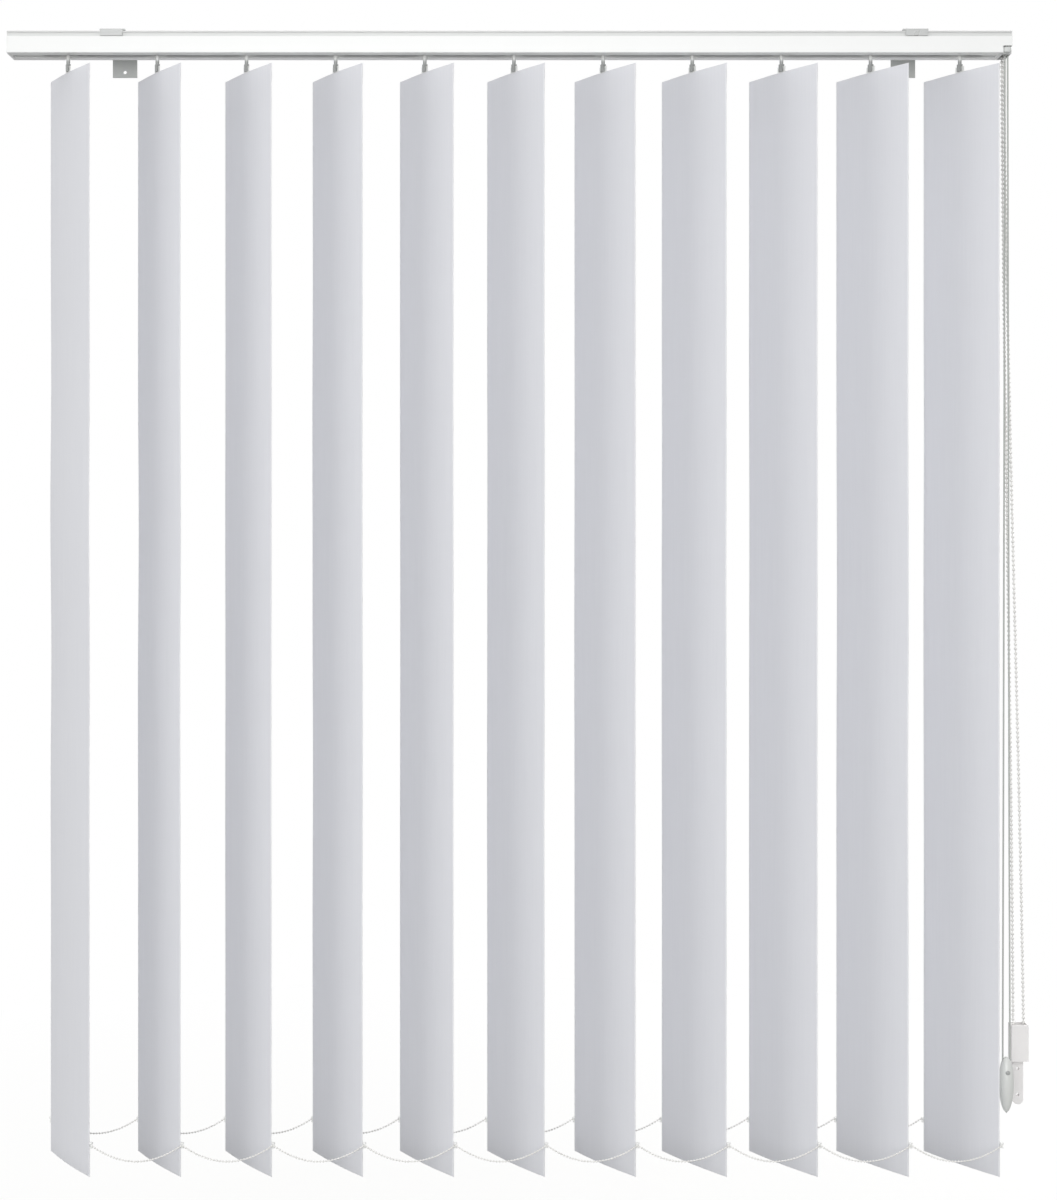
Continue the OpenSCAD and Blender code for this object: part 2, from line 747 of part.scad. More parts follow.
module hook(i) {
    collar_z = carrier_plate_top + 0.25;
    bridge_z = -vane_drop + eye_rise + 0.6;
    fork_half = prong_gap + prong_t;
    prong_bottom = -vane_drop + 0.6;
    color(clear_grey) at_hook(i) rotate(-vane_angle) {
        translate([0, 0, gear_z]) linear_extrude(gear_t) gear_section();
        translate([0, 0, gear_z + gear_t - merge])
            cylinder(d = pin_d, h = gear_clear + carrier_top_t + merge);
        translate([0, 0, collar_z]) cylinder(d = collar_d, h = gear_z - collar_z + merge);
        translate([0, 0, bridge_z + merge]) cylinder(d = stem_d, h = collar_z - bridge_z);
        translate([-fork_w / 2, -fork_half, bridge_z]) cube([fork_w, 2 * fork_half, bridge_h]);
        for (side = [0, 1]) mirror([0, side, 0])
            translate([-fork_w / 2, prong_gap, prong_bottom])
                cube([fork_w, prong_t, bridge_z - prong_bottom + merge]);
        translate([0, fork_half, -vane_drop + peg_rise]) rotate([90, 0, 0])
            cylinder(d = peg_d, h = 2 * fork_half);
    }
}

// Carrier: a wheeled cage around the hook's wheel and its worm
module carrier_cage() {
    wall_h = carrier_top_z - carrier_plate_top + 2 * merge;
    translate([-carrier_len / 2, -carrier_half, carrier_plate_z])
        cube([carrier_len, 2 * carrier_half, carrier_plate_t]);
    translate([-carrier_len / 2, -wall_front, carrier_top_z])
        cube([carrier_len, wall_front + carrier_half, carrier_top_t]);
    for (x = [-carrier_len / 2, carrier_len / 2 - end_wall]) {
        translate([x, -wall_front, carrier_plate_top - merge])
            cube([end_wall, wall_front + carrier_half, wall_h]);
        translate([0, rod_y, rod_z]) rod_x(x, end_wall, boss_d);
    }
    for (x = [-axle_x, axle_x], side = [0, 1]) mirror([0, side, 0])
        translate([x, 0, wheel_z]) rotate([-90, 0, 0]) {
            translate([0, 0, carrier_half - merge]) cylinder(d = axle_d, h = wheel_out - carrier_half + merge);
            translate([0, 0, wheel_in]) cylinder(d = wheel_d, h = wheel_w);
        }
}

module spacer_strip(i) {
    reach = vane_pitch + strip_past;
    step_h = strip_z - carrier_plate_top;
    translate([-reach, strip_y(i), strip_z]) cube([reach + strip_tab, strip_t, strip_h]);
    translate([-strip_tab, strip_y(i), carrier_plate_top - merge])
        cube([2 * strip_tab, strip_t, step_h + 2 * merge]);
    translate([-reach, strip_y(i), carrier_plate_top + loose_fit])
        cube([strip_foot, strip_t, step_h - loose_fit + merge]);
}

// The catch that the next carrier's strip pulls against
module strip_catch(i) {
    step_h = strip_z - carrier_plate_top;
    translate([-strip_past + strip_foot + 0.5, strip_y(i + 1), carrier_plate_top - merge])
        cube([strip_foot, strip_t, step_h - loose_fit + merge]);
}

module cord_clamp() {
    translate([-clamp_len / 2, -lane_y - clamp_half, carrier_top_z])
        cube([clamp_len, lane_y + clamp_half - wall_front + merge, carrier_top_t]);
    translate([-clamp_len / 2, -lane_y - clamp_half, carrier_top_z])
        cube([clamp_len, 2 * clamp_half, lane_z + clamp_half - carrier_top_z]);
}

module carrier(i) {
    color(plastic_white) at_hook(i) difference() {
        union() {
            carrier_cage();
            if (i > 1) spacer_strip(i);
            if (i < vane_count) strip_catch(i);
            if (i == 1) cord_clamp();
        }
        translate([0, 0, carrier_plate_z - merge])
            cylinder(d = stem_d + 2 * run_fit, h = carrier_plate_t + 2 * merge);
        translate([0, 0, carrier_top_z - merge])
            cylinder(d = pin_d + 2 * run_fit, h = carrier_top_t + 2 * merge);
        translate([0, rod_y, rod_z]) rod_x(-carrier_len, 2 * carrier_len, journal_d + 2 * run_fit);
        if (i == 1) translate([0, -lane_y, lane_z])
            rod_x(-clamp_len, 2 * clamp_len, cord_d + 4 * slide_fit);
    }
}

// Worm: turns in the carrier's end walls and slides on the keyed rod
module worm(i) {
    color(plastic_white) at_hook(i) translate([0, rod_y, rod_z]) rotate([90, 0, 90]) difference() {
        union() {
            translate([0, 0, -worm_len / 2]) cylinder(d = worm_d, h = worm_len);
            translate([0, 0, -carrier_len / 2]) cylinder(d = journal_d, h = carrier_len);
        }
        translate([0, 0, -carrier_len]) linear_extrude(2 * carrier_len)
            keyed_section(rod_d + 2 * run_fit, key_d - 2 * slide_fit);
    }
}

headrail();
control_end_cap();
return_end_cap();
wall_bracket(-1);  // wall_bracket_left
wall_bracket(1);  // wall_bracket_right
rail_clips();
clip_screws();
tilt_rod();
chain_sprocket();
bead_chain();
chain_tensioner();
return_pulley();
traverse_cord();
cord_weight();
bottom_chain(1);  // front_bottom_chain
bottom_chain(-1);  // rear_bottom_chain
for (i = [1:vane_count]) {
    vane(i);
    hook(i);
    carrier(i);
    worm(i);
}
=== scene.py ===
"""Dresses the vertical blind: cloth vanes, beaded chains, a braided cord and their finishes."""

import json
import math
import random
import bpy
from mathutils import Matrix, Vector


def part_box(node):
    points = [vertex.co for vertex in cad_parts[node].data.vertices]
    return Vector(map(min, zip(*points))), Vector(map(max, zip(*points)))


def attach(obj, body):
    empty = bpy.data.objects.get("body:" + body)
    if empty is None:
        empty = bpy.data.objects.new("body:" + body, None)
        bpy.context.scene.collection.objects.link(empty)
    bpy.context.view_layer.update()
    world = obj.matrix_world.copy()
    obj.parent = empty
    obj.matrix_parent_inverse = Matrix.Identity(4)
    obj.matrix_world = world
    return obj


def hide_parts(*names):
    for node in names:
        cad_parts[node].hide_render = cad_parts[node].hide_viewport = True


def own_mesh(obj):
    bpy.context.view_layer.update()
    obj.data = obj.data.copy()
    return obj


bl_info = {
    "name": "Vertical Blind",
    "version": (1, 0, 0),
    "blender": (4, 5, 0),
    "location": "View3D > Sidebar > Blind",
    "description": "Builds the cloth, chains, cord and finishes of a vertical blind around its solid parts",
    "category": "Add Mesh",
}

import bmesh
import bpy
from bpy.props import FloatProperty, FloatVectorProperty, IntProperty, PointerProperty
from mathutils import Matrix, Vector

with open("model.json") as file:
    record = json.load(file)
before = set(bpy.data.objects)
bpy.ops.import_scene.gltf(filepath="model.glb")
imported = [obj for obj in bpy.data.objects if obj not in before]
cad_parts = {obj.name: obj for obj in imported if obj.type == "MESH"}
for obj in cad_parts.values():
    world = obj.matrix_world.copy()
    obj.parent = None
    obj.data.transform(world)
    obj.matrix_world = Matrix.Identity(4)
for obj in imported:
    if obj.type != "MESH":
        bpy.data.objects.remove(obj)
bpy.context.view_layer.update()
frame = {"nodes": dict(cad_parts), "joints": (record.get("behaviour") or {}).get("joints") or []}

# Where the hooks turn, by body, and where the solid parts lie; all lengths are in metres
HOOKS = {j["child"]: Vector(j["pos_m"]) for j in frame["joints"] if j["name"].startswith("tilt")}
VANES = sorted(HOOKS)
FIRST_HOOK = HOOKS[VANES[0]]
PITCH = HOOKS[VANES[1]].x - FIRST_HOOK.x
VANE_TOP = FIRST_HOOK.z
HOOK_Y = FIRST_HOOK.y
RAIL_LOW, RAIL_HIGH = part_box("headrail")
SPROCKET_LOW, SPROCKET_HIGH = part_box("chain_sprocket")
HOLDER_LOW, HOLDER_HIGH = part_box("chain_tensioner")
BULB_LOW, BULB_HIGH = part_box("cord_weight")
CAP_LOW, CAP_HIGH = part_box("control_end_cap")
# Points closer than this are one point
TOUCHING = 1e-6


def linear(code):
    """An sRGB hex colour as linear values."""
    parts = [int(code[k:k + 2], 16) / 255 for k in (1, 3, 5)]
    return tuple(c / 12.92 if c <= 0.04045 else ((c + 0.055) / 1.055) ** 2.4 for c in parts)


def colour(label, words, code):
    """A colour that a user can change."""
    return FloatVectorProperty(name=label, description=words, default=linear(code), subtype="COLOR",
                               min=0, max=1)


def length(label, words, size):
    """A length that a user can change."""
    return FloatProperty(name=label, description=words, default=size, min=0, unit="LENGTH", precision=5)


class VaneSettings(bpy.types.PropertyGroup):
    """Sizes of the fabric vanes."""

    width: length("Width", "Vane width, edge to edge", 0.127)
    drop: length("Length", "Top fold to bottom fold", 1.396)
    bow: length("Bow", "Depth of the shallow curve across a vane", 0.003)
    angle: FloatProperty(name="Angle", description="Angle between the rail and the vanes at rest",
                         default=math.radians(55), subtype="ANGLE")
    cloth: length("Fabric", "Thickness of the fabric", 0.0005)
    layer: length("Layer offset", "Middle of the plates to the middle of a fabric layer", 0.00085)
    hem: length("Hem", "Height of the bottom pocket", 0.0476)
    pocket: length("Top pocket", "Height of the top pocket", 0.0236)
    weld: length("Weld", "Height of a welded line", 0.0025)
    slit: length("Slit", "Opening for the hanger's eye in the top fold", 0.016)
    ripple: length("Ripple", "How far a hanging vane wavers between its ends", 0.0007)
    seed: IntProperty(name="Seed", description="Sets how each vane wavers", default=7, min=0)


class ChainSettings(bpy.types.PropertyGroup):
    """Sizes of the bead chains and the cord."""

    bead: length("Tilt bead", "Diameter of a tilt chain bead", 0.0042)
    bead_gap: length("Tilt bead spacing", "Bead to bead along the tilt chain", 0.006)
    thread: length("Tilt thread", "Diameter of the thread in the tilt chain", 0.0015)
    small_bead: length("Bottom bead", "Diameter of a bottom chain bead", 0.0026)
    small_gap: length("Bottom bead spacing", "Bead to bead along a bottom chain", 0.0038)
    small_thread: length("Bottom thread", "Diameter of the thread in a bottom chain", 0.0010)
    bare_end: length("Bare end", "Thread without beads at each end of a bottom chain's span", 0.0022)
    sag: length("Sag", "Sag of a bottom chain between two vanes", 0.019)
    cord: length("Cord", "Diameter of the traverse cord", 0.0022)


class FinishSettings(bpy.types.PropertyGroup):
    """Colours of the finishes."""

    cloth: colour("Fabric", "Woven polyester vanes", "#DFE0E4")
    cloth_low: colour("Fabric, low", "The darker threads of the vanes", "#DADBE0")
    # Painted highlight: the paler colour of a strip along both edges of each vane
    cloth_highlight: colour("Fabric, edge", "The sealed edges of the vanes", "#EEEFF1")
    coat: colour("Powder coat", "Headrail and its end caps", "#EEEFEE")
    # Painted shade: a darker grey that stands in for the shade in the recessed clip groove
    groove: colour("Groove grey", "The clip groove along the headrail", "#D2D3D2")
    moulded: colour("Moulded white", "Carriers, worms, wheels and the tops of the hooks", "#EFF0EE")
    clear: colour("Clear grey", "Rail clips", "#C8CAC9")
    smoke: colour("Smoke grey", "Stems of the hooks and the cord weight's pin", "#A0A2A1")
    holder: colour("Holder white", "Chain holder", "#EFEDEC")
    guide: colour("Guide grey", "Cord guide in the control cap", "#D0D2D0")
    weight: colour("Weight grey", "Cord weight", "#DADCD9")
    bracket: colour("Bracket grey", "Wall brackets", "#BBBDBB")
    bead: colour("Bead grey", "Bead chains", "#EBEAE7")
    cord: colour("Cord grey", "Braided cord", "#B8BBB7")
    rod: colour("Drawn aluminium", "Tilt rod", "#C3C6CA")
    zinc: colour("Zinc", "Clip screws", "#B9BBBD")


# Materials

# Painted shade: the clip groove, a recessed band of this height along the top of the rail and its end caps,
# is coloured grey to stand in for the shade in it
GROOVE_SHADE_HEIGHT = 0.007
GROOVE_SHADE_Z = RAIL_HIGH.z - GROOVE_SHADE_HEIGHT
GROOVE_SHADE_BLEND = 0.0002
# The stems of the hooks are pale down to this far below the rail
PALE_STEM = 0.0055
PALE_STEM_BLEND = 0.002
# Slubs in the fabric, to the metre: each is about 3 mm wide and 125 mm long
SLUBS_ACROSS = 330.0
SLUBS_ALONG = 8.0
# Painted highlight along both edges of a vane: from the edge, where the paler strip begins to fade and where
# it ends
HIGHLIGHT_FADE, HIGHLIGHT_END = 0.0006, 0.0018
HIGHLIGHT_SHARE = 0.8
# The threads are 0.4 mm apart, drawn at 0.9 mm so that they show
THREAD_SPACING = 0.0009
# Crossing strands of the braid: spacing along the cord, and slant in radians
BRAID_SPACING = 0.0016
BRAID_SLANT = 0.7
# Draw lines on the rod, to the metre: each is 0.2 mm wide and about 150 mm long
LINES_ALONG = 6.7
LINES_ACROSS = 5000.0
# A wave texture of scale 1 repeats at this distance
WAVE_REPEAT = 0.314
# A Mix node lists its sockets once for each kind of data; these are the ones for colours
MIX_A, MIX_B, MIX_RESULT = 6, 7, 2


def node(tree, kind, settings=None, links=None):
    """Adds a node, sets its properties and inputs, and links inputs from (node, output) pairs."""
    made = tree.nodes.new(kind)
    for key, value in (settings or {}).items():
        if isinstance(key, str) and hasattr(made, key) and key not in made.inputs:
            setattr(made, key, value)
        else:
            made.inputs[key].default_value = value
    for key, (source, output) in (links or {}).items():
        tree.links.new(source.outputs[output], made.inputs[key])
    return made


def surface(name, base, roughness, **sockets):
    """A new material with plain values on its shader, and its tree and shader."""
    material = bpy.data.materials.new(name)
    material.use_nodes = True
    shader = material.node_tree.nodes["Principled BSDF"]
    shader.inputs["Base Color"].default_value = (*base, 1)
    shader.inputs["Roughness"].default_value = roughness
    for key, value in sockets.items():
        shader.inputs[key.replace("_", " ")].default_value = value
    material.diffuse_color = (*base, 1)
    return material, material.node_tree, shader


def shade_range(base, darkest):
    """The base colour at a share of its lightness, and as it is."""
    return (*[c * darkest for c in base], 1), (*base, 1)


def mottled(name, base, roughness, darkest, blotch_mm, rough, grain=None, stretch=None, **sockets):
    """A material with uneven colour and roughness from one noise, and a bump from a finer one.

    darkest is the share of the base colour in the dark blotches, rough is the range of the roughness,
    grain is the bump's size in millimetres, its strength and its depth, and stretch is the scale of the
    noise along each axis."""
    material, tree, shader = surface(name, base, roughness, **sockets)
    coords = (node(tree, "ShaderNodeTexCoord"), "Object")
    if stretch:
        coords = (node(tree, "ShaderNodeMapping", {"Scale": stretch}, {"Vector": coords}), "Vector")
    noise = node(tree, "ShaderNodeTexNoise", {"Scale": 1000 / blotch_mm, "Detail": 3.0},
                 {"Vector": coords})
    dark, light = shade_range(base, darkest)
    mix = node(tree, "ShaderNodeMix", {"data_type": "RGBA", MIX_A: dark, MIX_B: light},
               {"Factor": (noise, "Fac")})
    tree.links.new(mix.outputs[MIX_RESULT], shader.inputs["Base Color"])
    span = node(tree, "ShaderNodeMapRange", {"To Min": rough[0], "To Max": rough[1]},
                {"Value": (noise, "Fac")})
    tree.links.new(span.outputs["Result"], shader.inputs["Roughness"])
    if grain:
        grain_mm, strength, depth = grain
        fine = node(tree, "ShaderNodeTexNoise", {"Scale": 1000 / grain_mm, "Detail": 2.0},
                    {"Vector": coords})
        raised = node(tree, "ShaderNodeBump", {"Strength": strength, "Distance": depth},
                      {"Height": (fine, "Fac")})
        tree.links.new(raised.outputs["Normal"], shader.inputs["Normal"])
    return material


def change_above(material, level, blend, other):
    """Takes a material's base colour to another one above a height."""
    tree = material.node_tree
    shader = tree.nodes["Principled BSDF"]
    coords = node(tree, "ShaderNodeTexCoord")
    height = node(tree, "ShaderNodeSeparateXYZ", {}, {"Vector": (coords, "Object")})
    share = node(tree, "ShaderNodeMapRange", {"From Min": level - blend, "From Max": level + blend},
                 {"Value": (height, "Z")})
    below = shader.inputs["Base Color"].links[0].from_socket
    mix = node(tree, "ShaderNodeMix", {"data_type": "RGBA", MIX_B: (*other, 1)},
               {"Factor": (share, "Result")})
    tree.links.new(below, mix.inputs[MIX_A])
    tree.links.new(mix.outputs[MIX_RESULT], shader.inputs["Base Color"])
    return material


def woven_polyester(finish):
    """Matt woven polyester: soft slubs down the vane, a fine plain weave, and a painted highlight along both
    edges.
    """
    material, tree, shader = surface("woven_polyester", finish.cloth, 0.82)
    coords = node(tree, "ShaderNodeTexCoord")
    stretch = node(tree, "ShaderNodeMapping", {"Scale": (SLUBS_ACROSS, SLUBS_ALONG, 1.0)},
                   {"Vector": (coords, "UV")})
    slub = node(tree, "ShaderNodeTexNoise", {"Scale": 1.0, "Detail": 2.0}, {"Vector": (stretch, "Vector")})
    mix = node(tree, "ShaderNodeMix",
               {"data_type": "RGBA", MIX_A: (*finish.cloth_low, 1), MIX_B: (*finish.cloth, 1)},
               {"Factor": (slub, "Fac")})
    # The distance from the nearer edge, which the UV map gives in metres
    place = node(tree, "ShaderNodeSeparateXYZ", {}, {"Vector": (coords, "UV")})
    half_width = bpy.context.scene.blind_vanes.width / 2
    inward = node(tree, "ShaderNodeMath", {"operation": "PINGPONG", 1: half_width}, {0: (place, "X")})
    # Painted highlight: a paler strip along each edge that stands in for the glare on the edges
    highlighted = node(tree, "ShaderNodeMapRange",
                  {"From Min": HIGHLIGHT_FADE, "From Max": HIGHLIGHT_END, "To Min": HIGHLIGHT_SHARE, "To Max": 0.0},
                  {"Value": (inward, "Value")})
    edged = node(tree, "ShaderNodeMix", {"data_type": "RGBA", MIX_B: (*finish.cloth_highlight, 1)},
                 {"Factor": (highlighted, "Result"), MIX_A: (mix, MIX_RESULT)})
    tree.links.new(edged.outputs[MIX_RESULT], shader.inputs["Base Color"])
    warp, weft = [node(tree, "ShaderNodeTexWave",
                       {"bands_direction": way, "Scale": WAVE_REPEAT / THREAD_SPACING, "Distortion": 0.4},
                       {"Vector": (coords, "UV")})
                  for way in ("X", "Y")]
    cross = node(tree, "ShaderNodeMath", {"operation": "MULTIPLY"}, {0: (warp, "Fac"), 1: (weft, "Fac")})
    raised = node(tree, "ShaderNodeBump", {"Strength": 0.18, "Distance": 0.0003},
                  {"Height": (cross, "Value")})
    tree.links.new(raised.outputs["Normal"], shader.inputs["Normal"])
    return material


def powder_coat(finish):
    """White powder coat on extruded aluminium: satin, with fine orange peel, and painted shade in the
    groove.
    """
    material = mottled("powder_coated_aluminium", finish.coat, 0.38, darkest=0.985, blotch_mm=60,
                       rough=(0.34, 0.42), grain=(1.6, 0.06, 0.0002))
    # Painted shade over the recessed clip groove
    return change_above(material, GROOVE_SHADE_Z, GROOVE_SHADE_BLEND, finish.groove)


def capped_abs(finish):
    """Moulded white ABS of the end caps: satin, with painted shade in the clip groove like the rail."""
    material = mottled("moulded_abs_cap", finish.coat, 0.4, darkest=0.97, blotch_mm=25,
                       rough=(0.36, 0.46), grain=(0.7, 0.1, 0.0001))
    # Painted shade over the recessed clip groove
    return change_above(material, GROOVE_SHADE_Z, GROOVE_SHADE_BLEND, finish.groove)


def moulded_abs(finish):
    """Moulded white ABS: satin, with a faint spark-eroded grain."""
    return mottled("moulded_abs", finish.moulded, 0.42, darkest=0.97, blotch_mm=25,
                   rough=(0.38, 0.48), grain=(0.7, 0.1, 0.0001))


def clear_polycarbonate(finish):
    """Frosted polycarbonate: pale grey with a soft gloss, and light that goes a little way in."""
    return mottled("frosted_polycarbonate", finish.clear, 0.28, darkest=0.95, blotch_mm=12,
                   rough=(0.22, 0.34), IOR=1.58, Transmission_Weight=0.15)


def smoked_polycarbonate(finish):
    """Smoke-grey polycarbonate stems: glossy, and pale where they come out of the rail."""
    material = mottled("smoked_polycarbonate", finish.smoke, 0.3, darkest=0.93, blotch_mm=6,
                       rough=(0.24, 0.36), IOR=1.58)
    return change_above(material, RAIL_LOW.z - PALE_STEM, PALE_STEM_BLEND, finish.moulded)


def holder_resin(finish):
    """Milky resin of the chain holder: smooth and nearly white."""
    return mottled("holder_resin", finish.holder, 0.34, darkest=0.95, blotch_mm=14,
                   rough=(0.28, 0.4), grain=(0.8, 0.06, 0.0001), IOR=1.5)


def weight_resin(finish):
    """Grey moulded resin of the cord weight: smooth, with a soft gloss from handling."""
    return mottled("weight_resin", finish.weight, 0.34, darkest=0.94, blotch_mm=16,
                   rough=(0.28, 0.42), grain=(0.8, 0.06, 0.0001), IOR=1.5)


def guide_resin(finish):
    """Grey moulded resin of the cord guide: worn smooth by the cord."""
    return mottled("guide_resin", finish.guide, 0.36, darkest=0.9, blotch_mm=4,
                   rough=(0.26, 0.44), grain=(0.6, 0.08, 0.0001), IOR=1.5)


def painted_steel(finish):
    """Grey painted sheet steel: smooth, thinner and duller in places."""
    return mottled("painted_steel", finish.bracket, 0.45, darkest=0.93, blotch_mm=18,
                   rough=(0.38, 0.55), grain=(1.2, 0.08, 0.0002))


def zinc_plate(finish):
    """Zinc-plated screws: bright metal with cloudy patches."""
    return mottled("zinc_plated_steel", finish.zinc, 0.32, darkest=0.9, blotch_mm=2.5,
                   rough=(0.25, 0.42), Metallic=1.0)


def drawn_aluminium(finish):
    """Drawn aluminium rod: long fine draw lines along its length."""
    # The stretch gives the lines their size, so the noise itself has a scale of 1
    return mottled("drawn_aluminium", finish.rod, 0.35, darkest=0.9, blotch_mm=1000,
                   rough=(0.28, 0.45), stretch=(LINES_ALONG, LINES_ACROSS, LINES_ACROSS), Metallic=1.0)


def bead_resin(finish):
    """Moulded resin beads on a polyester thread: smooth, pale and slightly warm."""
    return mottled("bead_resin", finish.bead, 0.33, darkest=0.94, blotch_mm=9,
                   rough=(0.28, 0.4), IOR=1.5)


def braided_polyester(finish):
    """Braided polyester cord: strands that cross in a fine herringbone, seen from all sides."""
    material, tree, shader = surface("braided_polyester", finish.cord, 0.7)
    coords = node(tree, "ShaderNodeTexCoord")
    strands = []
    for slant in (BRAID_SLANT, -BRAID_SLANT):
        spin = node(tree, "ShaderNodeMapping", {"Rotation": (0.0, slant, slant)},
                    {"Vector": (coords, "Object")})
        strands.append(node(tree, "ShaderNodeTexWave",
                            {"bands_direction": "Z", "Scale": WAVE_REPEAT / BRAID_SPACING},
                            {"Vector": (spin, "Vector")}))
    cross = node(tree, "ShaderNodeMath", {"operation": "MAXIMUM"},
                 {k: (strand, "Fac") for k, strand in enumerate(strands)})
    dark, light = shade_range(finish.cord, 0.86)
    mix = node(tree, "ShaderNodeMix", {"data_type": "RGBA", MIX_A: dark, MIX_B: light},
               {"Factor": (cross, "Value")})
    tree.links.new(mix.outputs[MIX_RESULT], shader.inputs["Base Color"])
    raised = node(tree, "ShaderNodeBump", {"Strength": 0.4, "Distance": 0.0002},
                  {"Height": (cross, "Value")})
    tree.links.new(raised.outputs["Normal"], shader.inputs["Normal"])
    return material


FINISHES = {}


def finish_of(maker):
    """One material for each finish, made when it is first asked for."""
    if maker.__name__ not in FINISHES:
        FINISHES[maker.__name__] = maker(bpy.context.scene.blind_finishes)
    return FINISHES[maker.__name__]


# Pieces
def add_piece(name, mesh, maker, body):
    """Links a mesh as a piece of the blind, finishes it and lets it ride on a body."""
    obj = bpy.data.objects.new(name, mesh)
    bpy.context.scene.collection.objects.link(obj)
    mesh.materials.clear()
    mesh.materials.append(finish_of(maker))
    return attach(obj, body)


def finish_node(name, maker):
    """Gives a solid part its finish."""
    obj = frame["nodes"][name]
    if not obj.material_slots:
        obj.data.materials.append(finish_of(maker))
    for holder in obj.material_slots:
        holder.material = finish_of(maker)


def numbered(stem):
    """The solid parts that share a name and differ by number."""
    return sorted(n for n in frame["nodes"] if n.startswith(stem + "_") and n[-2:].isdigit())


def smooth(mesh):
    mesh.polygons.foreach_set("use_smooth", [True] * len(mesh.polygons))
    return mesh


def mesh_of(build, name):
    """Turns what was built into a mesh, and frees it."""
    mesh = bpy.data.meshes.new(name)
    build.to_mesh(mesh)
    build.free()
    return mesh


# Steps round half a turn of a chain or the cord, and round the return pulley
TURN_STEPS, PULLEY_STEPS = 8, 16


def half_turn(steps):
    """Angles round half a circle, both ends included."""
    return [math.pi * k / steps for k in range(steps + 1)]


# Cloth

# Steps along the strip: round a fold, down the hem, up the front and down the top pocket
FOLD_STEPS, HEM_STEPS, FRONT_STEPS, POCKET_STEPS = 6, 6, 64, 5
# Next to a weld the back layer comes to the front over this height, with this share left halfway
WELD_EASE = 0.003
EASE_SHARE = 0.3
# Stations across half a vane: from the middle, past the slit, and from the edge inwards
MIDDLE_STATIONS = (0.014, 0.022, 0.031, 0.041, 0.050, 0.057)
EDGE_STATIONS = (0.003, 0.0012, 0)
# Waver of a hanging vane: waves, their length, and what stays true next to the pockets
WAVES = 3
WAVE_LENGTHS = (0.35, 0.8)
TRUE_END = 0.03
# How much a wave grows towards one edge, and how much the whole vane twists
LEAN_SHARE = 0.6
TWIST_SHARE = 0.8
# The hem's sides stay open from this far below its top up to the weld, for the chain clips
CLIP_WINDOW = 0.012
# How far in from the edge the sides of the hem and of the top pocket are drawn together
HEM_SIDE = 0.003
POCKET_SIDE = 0.010
# Where a chain clip is: past the vane's edge, and above the bottom fold
CLIP_REACH = 0.003
CLIP_HEIGHT = 0.04


def vane_matrix(body):
    """Places a vane's own frame: width along X, the plates' plane at Y = 0, the bottom fold at Z = 0."""
    vane = bpy.context.scene.blind_vanes
    hook = HOOKS[body]
    place = Matrix.Translation((hook.x, hook.y, VANE_TOP - vane.drop))
    return place @ Matrix.Rotation(-vane.angle, 4, "Z")


def bow_radius(vane):
    """Radius of the shallow curve across a vane."""
    return vane.width ** 2 / (8 * vane.bow)


def clip_place(body, side):
    """Where a vane's chain clip is, on its near (1) or far (-1) edge."""
    vane = bpy.context.scene.blind_vanes
    radius = bow_radius(vane)
    u = vane.width / 2 + CLIP_REACH
    return vane_matrix(body) @ Vector((side * u, radius - math.sqrt(radius ** 2 - u ** 2), CLIP_HEIGHT))


def fold(centre_z, radius, up):
    """Points round a fold: from the back layer to the front at the bottom, the other way at the top."""
    side = -1 if up else 1
    return [(side * radius * math.cos(turn), centre_z - side * radius * math.sin(turn))
            for turn in half_turn(FOLD_STEPS)[1:-1]]


def strip_route(vane):
    """The vane's strip from the top of its hem, round the bottom fold, up the front and into the pocket.

    Each point is (offset from the plates' plane, height); the front is on the negative side. The rows
    where the top fold starts and ends come with it."""
    front, back = -vane.layer, vane.layer
    pressed = front + vane.cloth
    fold_z = vane.layer + vane.cloth / 2
    top_z = vane.drop - fold_z
    weld_low = vane.hem - vane.weld
    weld_top = vane.drop - vane.pocket + vane.weld
    route = [(pressed, vane.hem), (pressed, weld_low)]
    route += [(back * EASE_SHARE, weld_low - WELD_EASE / 2), (back, weld_low - WELD_EASE)]
    for k in range(1, HEM_STEPS + 1):
        route.append((back, (weld_low - WELD_EASE) + (fold_z - weld_low + WELD_EASE) * k / HEM_STEPS))
    route += fold(fold_z, vane.layer, False)
    for k in range(FRONT_STEPS + 1):
        route.append((front, fold_z + (top_z - fold_z) * k / FRONT_STEPS))
    fold_start = len(route) - 1
    route += fold(top_z, vane.layer, True)
    fold_end = len(route)
    for k in range(POCKET_STEPS + 1):
        route.append((back, top_z + (weld_top + WELD_EASE - top_z) * k / POCKET_STEPS))
    route.append((back * EASE_SHARE, weld_top + WELD_EASE / 2))
    route += [(pressed, weld_top), (pressed, vane.drop - vane.pocket)]
    return route, (fold_start, fold_end)


def across(vane):
    """Stations across the width, closer at the edges and at the slit."""
    half, slit = vane.width / 2, vane.slit / 2
    right = [0, slit / 2, slit, *MIDDLE_STATIONS, *(half - inset for inset in EDGE_STATIONS)]
    return sorted({-u for u in right} | set(right))


def waver(vane, rng):
    """How one vane strays from true as it hangs: nothing in its pockets, most in between."""
    waves = [(rng.uniform(*WAVE_LENGTHS), rng.uniform(0, math.tau), rng.uniform(-1, 1))
             for _ in range(WAVES)]
    twist = rng.uniform(-1, 1)

    def offset(u, z):
        low, high = vane.hem + TRUE_END, vane.drop - vane.pocket - TRUE_END
        t = min(max((z - low) / (high - low), 0), 1)
        window = math.sin(math.pi * t) ** 2
        side = u / (vane.width / 2)
        bend = sum(math.sin(math.tau * z / span + phase) * (1 + LEAN_SHARE * lean * side)
                   for span, phase, lean in waves) / WAVES
        return vane.ripple * window * (bend + TWIST_SHARE * twist * side)

    return offset


